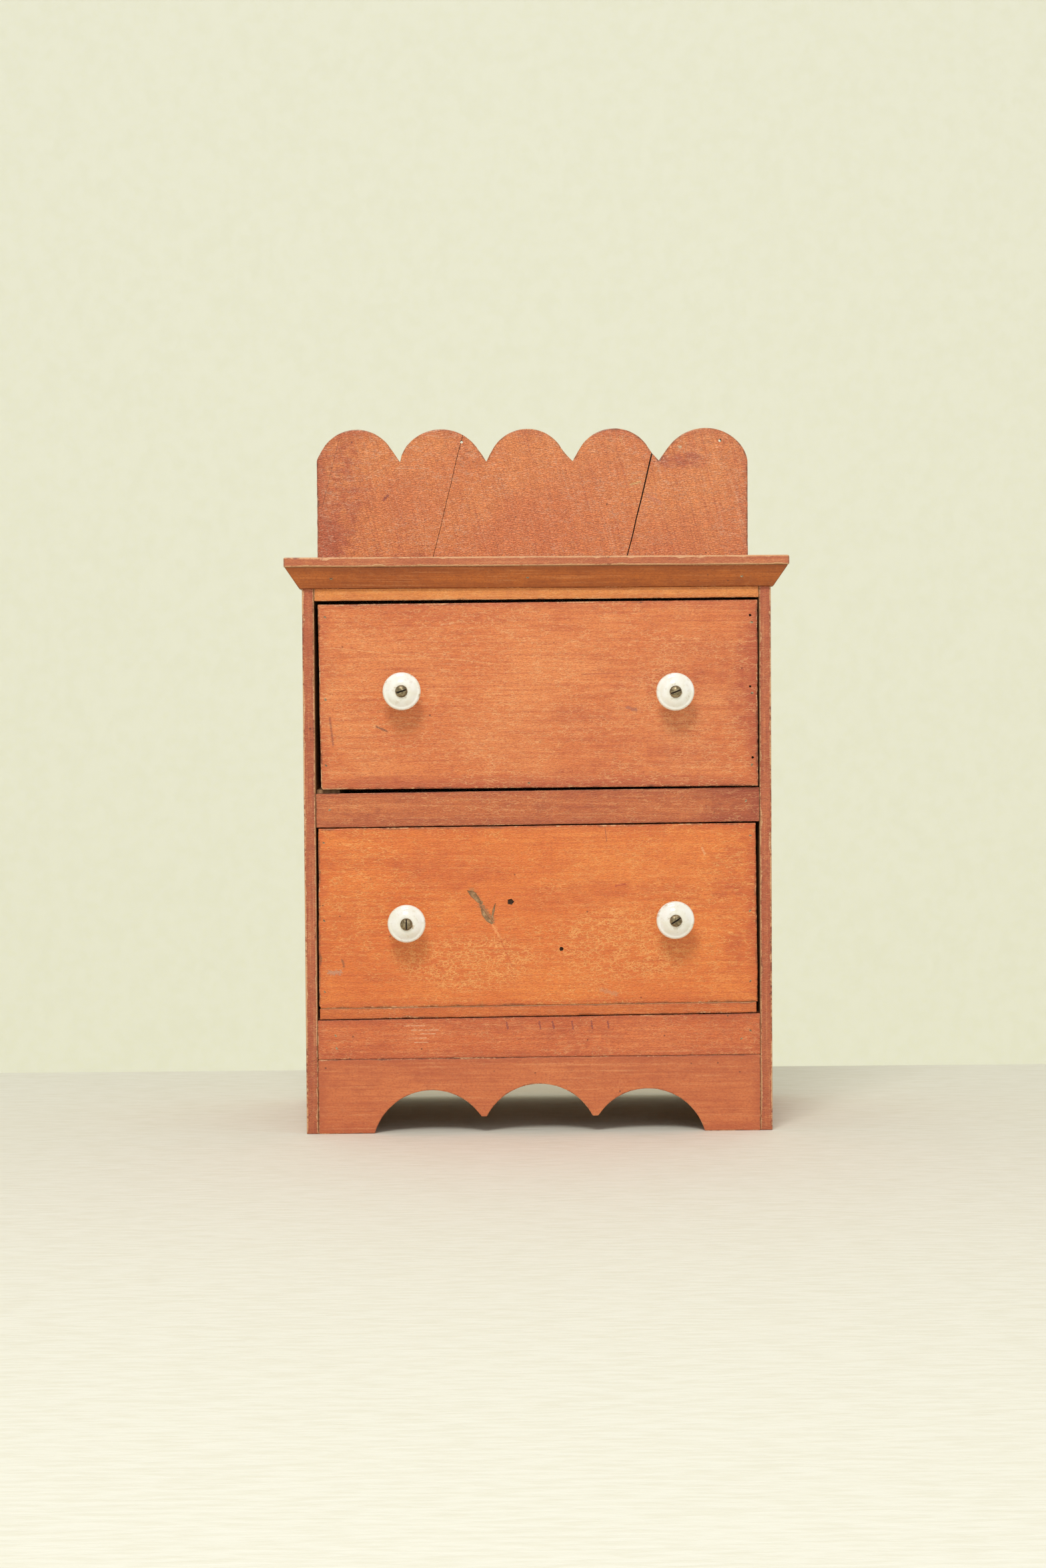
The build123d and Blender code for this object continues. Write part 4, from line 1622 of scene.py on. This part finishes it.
@dataclass
class Drawer:
    """One drawer: its front, box, knobs, screws and nails."""

    level: str
    slot_angles: tuple[float, float]
    nets: tuple[Patch, ...]
    deeps: tuple[Patch, ...]
    pales: tuple[Patch, ...]
    strokes: tuple[Stroke, ...]
    marks: dict = field(default_factory=dict)
    gouge_depth: float = 1.5 * MM
    rough: Edges = Edges(ease=0.4 * MM, chip=0.3 * MM)

    @property
    def body(self) -> str:
        """The drawer's body in the frame."""
        return f"{self.level}_drawer"

    def gouges(self, face: Face) -> list[bpy.types.Object]:
        """The cutters for the front's holes and gouges.

        Args:
            face: the front's broad face.

        Returns:
            The cutters.
        """
        cutters = []
        dirt = OPEN_WOOD.dress(f"{self.body}_dirt", 2.0)
        scar = SCAR.dress(f"{self.body}_scar", 4.0)
        for number, (x, z, radius, depth, sides) in enumerate(self.marks.get("holes", ())):
            centre = self.on_face(face, x, z) + face.normal * MM
            points = round_points(centre, radius * MM, face.u, face.v, sides, uneven=0.09)
            cutters.append(prism(f"hole_{number}", points, -face.normal * (depth + 1) * MM, dirt))
        for number, line in enumerate(self.marks.get("gouges", ())):
            edge_a, edge_b = [], []
            for i, (x, z, width) in enumerate(line):
                before, after = line[max(i - 1, 0)], line[min(i + 1, len(line) - 1)]
                way = Vector((after[0] - before[0], after[1] - before[1])).normalized()
                side = Vector((-way.y, way.x)) * width / 2
                edge_a.append((x + side.x, z + side.y))
                edge_b.append((x - side.x, z - side.y))
            outline = edge_a + edge_b[::-1]
            points = [self.on_face(face, x, z) + face.normal * MM for x, z in outline]
            cutters.append(prism(f"gouge_{number}", points, -face.normal * self.gouge_depth, scar))
        return cutters

    def on_face(self, face: Face, x: float, z: float) -> Vector:
        """The place on the front's face at that X and Z, in millimetres."""
        point = Vector((x * MM, 0.0, z * MM))
        point.y = (face.level - point.dot(face.normal)) / face.normal.y
        return point

    def make(self) -> None:
        """Build every piece of the drawer."""
        node = self.body
        face = broad_face(f"{node}_front", FORWARD)
        front = Board(
            f"{node}_front",
            self.body,
            FORWARD,
            Grain.ACROSS,
            UPPER_FRONT if self.level == "upper" else LOWER_FRONT,
            Edges(end_rag=0.55 * MM),
            self.nets,
            self.deeps,
            self.pales,
            self.strokes,
        )
        front.make(self.gouges(face))
        for part, outward, grain in (
            ("left", LEFTWARD, Grain.DEEP),
            ("right", RIGHTWARD, Grain.DEEP),
            ("back", BACKWARD, Grain.ACROSS),
        ):
            Board(f"{node}_{part}", self.body, outward, grain, INSIDE, self.rough).make()
        bottom = INSIDE if self.level == "upper" else LOWER_STRIP
        Board(f"{node}_bottom", self.body, -UPWARD, Grain.ACROSS, bottom, Edges(ease=0.6 * MM)).make()
        for hand, seed, stain in (("left", 3.0, 1.0), ("right", 8.0, 0.85)):
            Knob(f"{self.level}_{hand}_knob", self.body, seed, stain).make(face.normal)
        ScrewPair(f"{self.level}_knob_screws", self.body, self.slot_angles).make(face.normal)
        NailGroup(f"{node}_nails", self.body).make(IRON)


@dataclass
class Splits:
    """The splits and nail holes of the back panel, in millimetres."""

    holes: tuple = ((-50.4, 476.5, 1.1), (136.8, 476.5, 1.15))
    cracks: tuple = (
        (-48.4, 488.0, -82.5, 352.0, 0.42, 0.3),
        (89.5, 478.0, 58.0, 350.0, 1.15, 0.6),
    )
    lean: float = 0.30
    closing: float = 0.15
    steps: int = 26

    def cutters(self, face: Face) -> list[bpy.types.Object]:
        """The cutters for the panel.

        Args:
            face: the panel's broad face.

        Returns:
            The cutters.
        """
        made = []
        dirt = OPEN_WOOD.dress("panel_dirt", 5.0)
        through = -face.normal * (face.thickness + 4 * MM)
        for number, (x, z, radius) in enumerate(self.holes):
            centre = Vector((x * MM, -face.level, z * MM)) + face.normal * 2 * MM
            points = round_points(centre, radius * MM, face.u, face.v, 12, uneven=0.05)
            made.append(prism(f"nail_hole_{number}", points, through, dirt))
        for number, (x0, z0, x1, z1, wide, thin) in enumerate(self.cracks):
            left, right = [], []
            for t in (0.0, *fractions(self.steps)):
                x, z = x0 + (x1 - x0) * t, z0 + (z1 - z0) * t
                x += 0.5 * noise.noise(Vector((z * 0.04, number * 7.0, 0.0)))
                x += 0.2 * noise.noise(Vector((z * 0.35, number * 3.0, 1.0)))
                closing = min(1.0, (1.0 - t) / self.closing + 0.02)
                half = (wide + (thin - wide) * t) / 2 * closing
                left.append((x - half, z))
                right.append((x + half, z))
            start = -face.level * BACKWARD + face.normal * 2 * MM
            points = [Vector((x * MM, 0.0, z * MM)) + start for x, z in left + right[::-1]]
            slanted = through + Vector((self.lean * through.length, 0.0, 0.0))
            made.append(prism(f"split_{number}", points, slanted, dirt))
        return made


@dataclass
class Carcass:
    """The case: sides, top, mouldings, rails, apron, back panel, runners and nails."""

    splits: Splits = field(default_factory=Splits)
    worn: Edges = Edges(ease=0.8 * MM, chip=1.3 * MM, rag=0.3 * MM, end_rag=0.5 * MM)

    def make(self) -> None:
        """Build every piece of the case."""
        Board("left_side", "carcass", LEFTWARD, Grain.UPRIGHT, CASE, self.worn).make()
        Board("right_side", "carcass", RIGHTWARD, Grain.UPRIGHT, CASE, self.worn).make()
        top_edges = Edges(ease=0.9 * MM, chip=1.6 * MM, rag=0.35 * MM, end_rag=0.6 * MM, band=1.0 * MM)
        Board("top_board", "carcass", UPWARD, Grain.ACROSS, TOP, top_edges).make()
        self.make_rails()
        self.make_panel()
        Moulding("front_moulding", CROWN, Grain.ACROSS).make()
        Moulding("left_moulding", CROWN, Grain.DEEP).make()
        Moulding("right_moulding", CROWN, Grain.DEEP).make()
        for level in ("upper", "lower"):
            for hand in ("left", "right"):
                rough = Edges(ease=0.5 * MM, chip=0.4 * MM)
                Board(f"{level}_{hand}_runner", "carcass", UPWARD, Grain.DEEP, INSIDE, rough).make()
        for name in ("rail", "moulding", "top", "back", "side", "runner"):
            NailGroup(f"{name}_nails", "carcass", seed=len(name)).make(IRON)

    def make_rails(self) -> None:
        """Build the rails and the apron."""
        small = Edges(ease=0.35 * MM, chip=0.4 * MM, rag=0.15 * MM, end_rag=0.3 * MM, band=1.2 * MM)
        # Painted shadow: darkens the right part of the middle rail, under the upper drawer's proud right end.
        drawer_shadow = Patch(150, 219, 50, 30, 0.5)
        bruises = [
            Stroke((x, 74.5), (x + 0.8, 70.0), 1.3, tint(126, 62, 66), 0.6)
            for x in (-22, 0, 9, 22, 35, 46)
        ]
        scratches = [
            Stroke((x, z), (x + run, z), 0.5, tint(238, 190, 150), 0.7)
            for x, z, run in (
                (-91, 72.6, 14),
                (-86, 69.8, 18),
                (-80, 67.2, 10),
                (-88, 64.4, 12),
                (-84, 61.4, 9),
            )
        ]
        Board("top_rail", "carcass", FORWARD, Grain.ACROSS, TOP_RAIL, small).make()
        Board("middle_rail", "carcass", FORWARD, Grain.ACROSS, RAILS, small, deeps=(drawer_shadow,)).make()
        Board(
            "bottom_rail",
            "carcass",
            FORWARD,
            Grain.ACROSS,
            BOTTOM,
            small,
            nets=(Patch(-14, 66, 74, 20, 0.35), Patch(112, 64, 50, 18, 0.3)),
            strokes=(*bruises, *scratches),
        ).make()
        Board("apron", "carcass", FORWARD, Grain.ACROSS, APRON, small).make()

    def make_panel(self) -> None:
        """Build the back panel with its scalloped top, splits and nail holes."""
        panel = Board(
            "back_panel",
            "carcass",
            FORWARD,
            Grain.LEANING,
            SPLASH,
            Edges(ease=0.7 * MM, chip=0.8 * MM, band=1.4 * MM),
            deeps=(
                Patch(-156, 402, 26, 26, 0.9),
                Patch(-140, 450, 36, 60, 0.35),
                Patch(110, 462, 26, 8, 0.7),
                Patch(-90, 390, 60, 8, 0.4),
            ),
            pales=(Patch(0, 430, 110, 60, 0.55), Patch(115, 425, 60, 50, 0.4)),
            strokes=(
                Stroke((-138.6, 480), (-151.6, 430), 0.45, tint(120, 66, 52), 0.6, 0.4),
                Stroke((-98, 457.5), (-74, 457.5), 0.4, tint(240, 186, 140), 0.8, 0.3),
                Stroke((107.6, 472.1), (107.9, 471.9), 2.6, tint(232, 206, 166), 0.9),
                Stroke((72, 445), (79, 447), 1.6, tint(226, 186, 118), 0.75),
                Stroke((84, 437), (93, 432), 3.4, tint(222, 150, 118), 0.5),
                Stroke((-107, 435), (-104, 438), 1.8, tint(150, 62, 62), 0.7),
                Stroke((64, 480), (66, 474), 0.8, tint(236, 176, 110), 0.7),
            ),
        )
        panel.make(self.splits.cutters(broad_face("back_panel", FORWARD)))


@dataclass(frozen=True)
class Lamp:
    """A soft square lamp, aimed at the middle of the chest."""

    name: str
    place: tuple[float, float, float]
    size: float
    power: float
    colour: tuple[float, float, float]
    aim: tuple[float, float, float] = (0.0, 0.0, 0.22)

    def hang(self) -> None:
        """Add the lamp to the scene."""
        data = bpy.data.lights.new(self.name, "AREA")
        data.size, data.energy, data.color = self.size, self.power, self.colour
        turn = (Vector(self.aim) - Vector(self.place)).to_track_quat("-Z", "Y")
        linked(self.name, data).matrix_world = Matrix.Translation(self.place) @ turn.to_matrix().to_4x4()


@dataclass
class Studio:
    """The camera, the lights, the pale floor and the backdrop, in metres and degrees."""

    eye: Vector = field(default_factory=lambda: Vector((-0.03845, -2.1213, 0.31346)))
    yaw: float = 0.8
    pitch: float = -2.2
    roll: float = 0.38
    lens: float = 70.0
    half_width: float = 6.0
    floor_front: float = -6.0
    floor_back: float = 0.25
    fold: float = 0.006
    drop: float = -1.2
    wall: float = 3.2
    wall_top: float = 7.0
    daylight: float = 0.60
    lamps: tuple[Lamp, ...] = (
        Lamp("key", (-0.35, -1.8, 2.2), 0.8, 34.0, (1.0, 0.99, 0.97)),
        Lamp("fill", (0.6, -2.8, 0.8), 1.8, 6.0, (1.0, 1.0, 1.0)),
    )

    def make_camera(self) -> None:
        """Set the camera in front of the chest, a little above its middle."""
        yaw, pitch, roll = (math.radians(a) for a in (self.yaw, self.pitch, self.roll))
        view = Vector((math.sin(yaw) * math.cos(pitch), math.cos(yaw) * math.cos(pitch), math.sin(pitch)))
        level = Vector((math.cos(yaw), -math.sin(yaw), 0.0))
        up = level.cross(view)
        right = level * math.cos(roll) - up * math.sin(roll)
        up = level * math.sin(roll) + up * math.cos(roll)
        data = bpy.data.cameras.new("camera")
        data.lens, data.sensor_width, data.sensor_fit = self.lens, 36.0, "AUTO"
        data.clip_start, data.clip_end = 0.05, 50.0
        camera = linked("camera", data)
        turn = Matrix((right, up, -view)).transposed().to_4x4()
        camera.matrix_world = Matrix.Translation(self.eye) @ turn
        bpy.context.scene.camera = camera

    def lay(self, name: str, section: list[tuple[float, float]], finish: Backdrop) -> None:
        """Lay a wide cloth.

        Args:
            name: the cloth's name.
            section: its (Y, Z) points, as seen from the side.
            finish: its finish.
        """
        shape = bmesh.new()
        rows = [[shape.verts.new((x, y, z)) for x in (-self.half_width, self.half_width)] for y, z in section]
        for near, far in zip(rows, rows[1:]):
            shape.faces.new((near[0], near[1], far[1], far[0]))
        new_piece(name, as_mesh(name, shape), finish.dress(f"{name}_cloth"))

    def make_cloths(self) -> None:
        """Lay the table cloth, which falls behind the chest, and hang the backdrop well behind it."""
        back, edge = self.floor_back, self.floor_back + self.fold
        table = [(self.floor_front, 0.0), (back, 0.0), (back + 0.004, -0.001), (edge, -self.fold)]
        self.lay("floor", [*table, (edge, self.drop), (self.wall, self.drop)], FLOOR_CLOTH)
        self.lay("backdrop", [(self.wall, self.drop), (self.wall, self.wall_top)], WALL_CLOTH)

    def make_lights(self) -> None:
        """Light the room evenly and hang the lamps."""
        world = bpy.data.worlds.new("room")
        world.use_nodes = True
        sky = world.node_tree.nodes["Background"]
        sky.inputs["Color"].default_value = (1.0, 1.0, 1.0, 1.0)
        sky.inputs["Strength"].default_value = self.daylight
        bpy.context.scene.world = world
        for lamp in self.lamps:
            lamp.hang()

    def make(self) -> None:
        """Set up the whole studio."""
        bpy.context.scene.view_settings.view_transform = "Standard"
        self.make_camera()
        self.make_cloths()
        self.make_lights()


def drawers() -> tuple[Drawer, Drawer]:
    """The two drawers, with the marks of each."""
    upper = Drawer(
        "upper",
        (18.0, 20.0),
        nets=(Patch(95, 290, 60, 60, 0.55), Patch(10, 262, 120, 36, 0.4)),
        deeps=(Patch(150, 300, 30, 70, 0.5), Patch(0, 236, 170, 10, 0.3)),
        pales=(Patch(-60, 290, 90, 60, 0.5), Patch(40, 330, 90, 30, 0.3)),
        strokes=(
            Stroke((-138, 327), (-30, 316), 0.6, tint(240, 172, 112), 0.6),
            Stroke((-108, 274), (-101, 271), 1.4, tint(120, 82, 62), 0.7),
            Stroke((60, 286), (66, 284), 2.2, tint(150, 92, 84), 0.55),
            Stroke((-139, 280), (-137, 262), 1.6, tint(140, 74, 58), 0.6),
            Stroke((-64, 342), (-56, 343), 1.2, tint(238, 176, 124), 0.6),
            Stroke((30, 308), (52, 309), 0.8, tint(176, 84, 56), 0.6),
        ),
        marks={
            "holes": (
                (142.8, 347.1, 0.9, 3.0, 9),
                (142.7, 299.4, 0.8, 3.0, 9),
                (144.2, 251.8, 0.9, 3.0, 9),
            ),
        },
    )
    lower = Drawer(
        "lower",
        (90.0, 33.0),
        nets=(Patch(-48, 115, 70, 28, 1.0), Patch(56, 126, 64, 40, 0.9), Patch(60, 165, 90, 46, 0.5)),
        deeps=(Patch(-60, 180, 50, 25, 0.4), Patch(140, 160, 30, 60, 0.35)),
        pales=(Patch(-10, 120, 110, 36, 0.6),),
        strokes=(
            Stroke((-31.2, 141.0), (-25.8, 131.0), 1.9, tint(244, 158, 92), 0.85),
            Stroke((-25.8, 131.0), (-18.0, 112.0), 0.6, tint(196, 96, 52), 0.6),
            Stroke((-45.0, 163.5), (-39.0, 155.5), 3.4, tint(150, 124, 84), 0.75),
            Stroke((-39.0, 154.0), (-31.0, 143.0), 3.6, tint(146, 112, 76), 0.75),
            Stroke((-141, 109), (-134, 109), 3.2, tint(186, 150, 126), 0.6),
            Stroke((-132, 117), (-131, 113), 1.8, tint(128, 84, 56), 0.6),
            Stroke((52, 166), (58, 167), 1.6, tint(178, 66, 44), 0.6),
            Stroke((42, 96), (52, 93), 3.0, tint(206, 150, 112), 0.45),
            Stroke((110, 191), (112, 187), 1.6, tint(236, 166, 112), 0.7),
            Stroke((45, 205), (46, 196), 0.7, tint(150, 76, 52), 0.6),
        ),
        marks={
            "holes": ((-18.8, 155.8, 2.3, 2.6, 5), (15.2, 123.9, 1.5, 2.4, 6)),
            "gouges": (
                ((-47.8, 163.6, 0.4), (-44.0, 161.0, 4.2), (-40.5, 157.0, 2.6), (-38.5, 154.4, 0.6)),
                ((-38.8, 152.8, 0.5), (-37.0, 148.0, 2.8), (-34.0, 143.8, 3.0), (-31.0, 141.0, 1.2)),
                ((-29.0, 154.8, 0.4), (-30.2, 150.4, 1.6), (-31.0, 146.2, 1.3), (-31.2, 143.4, 0.5)),
            ),
        },
    )
    return upper, lower


def main() -> None:
    """Build the studio, the case and the drawers."""
    logging.basicConfig(level=logging.INFO, format="%(message)s")
    Studio().make()
    Carcass().make()
    for drawer in drawers():
        drawer.make()


if __name__ == "__main__":
    main()
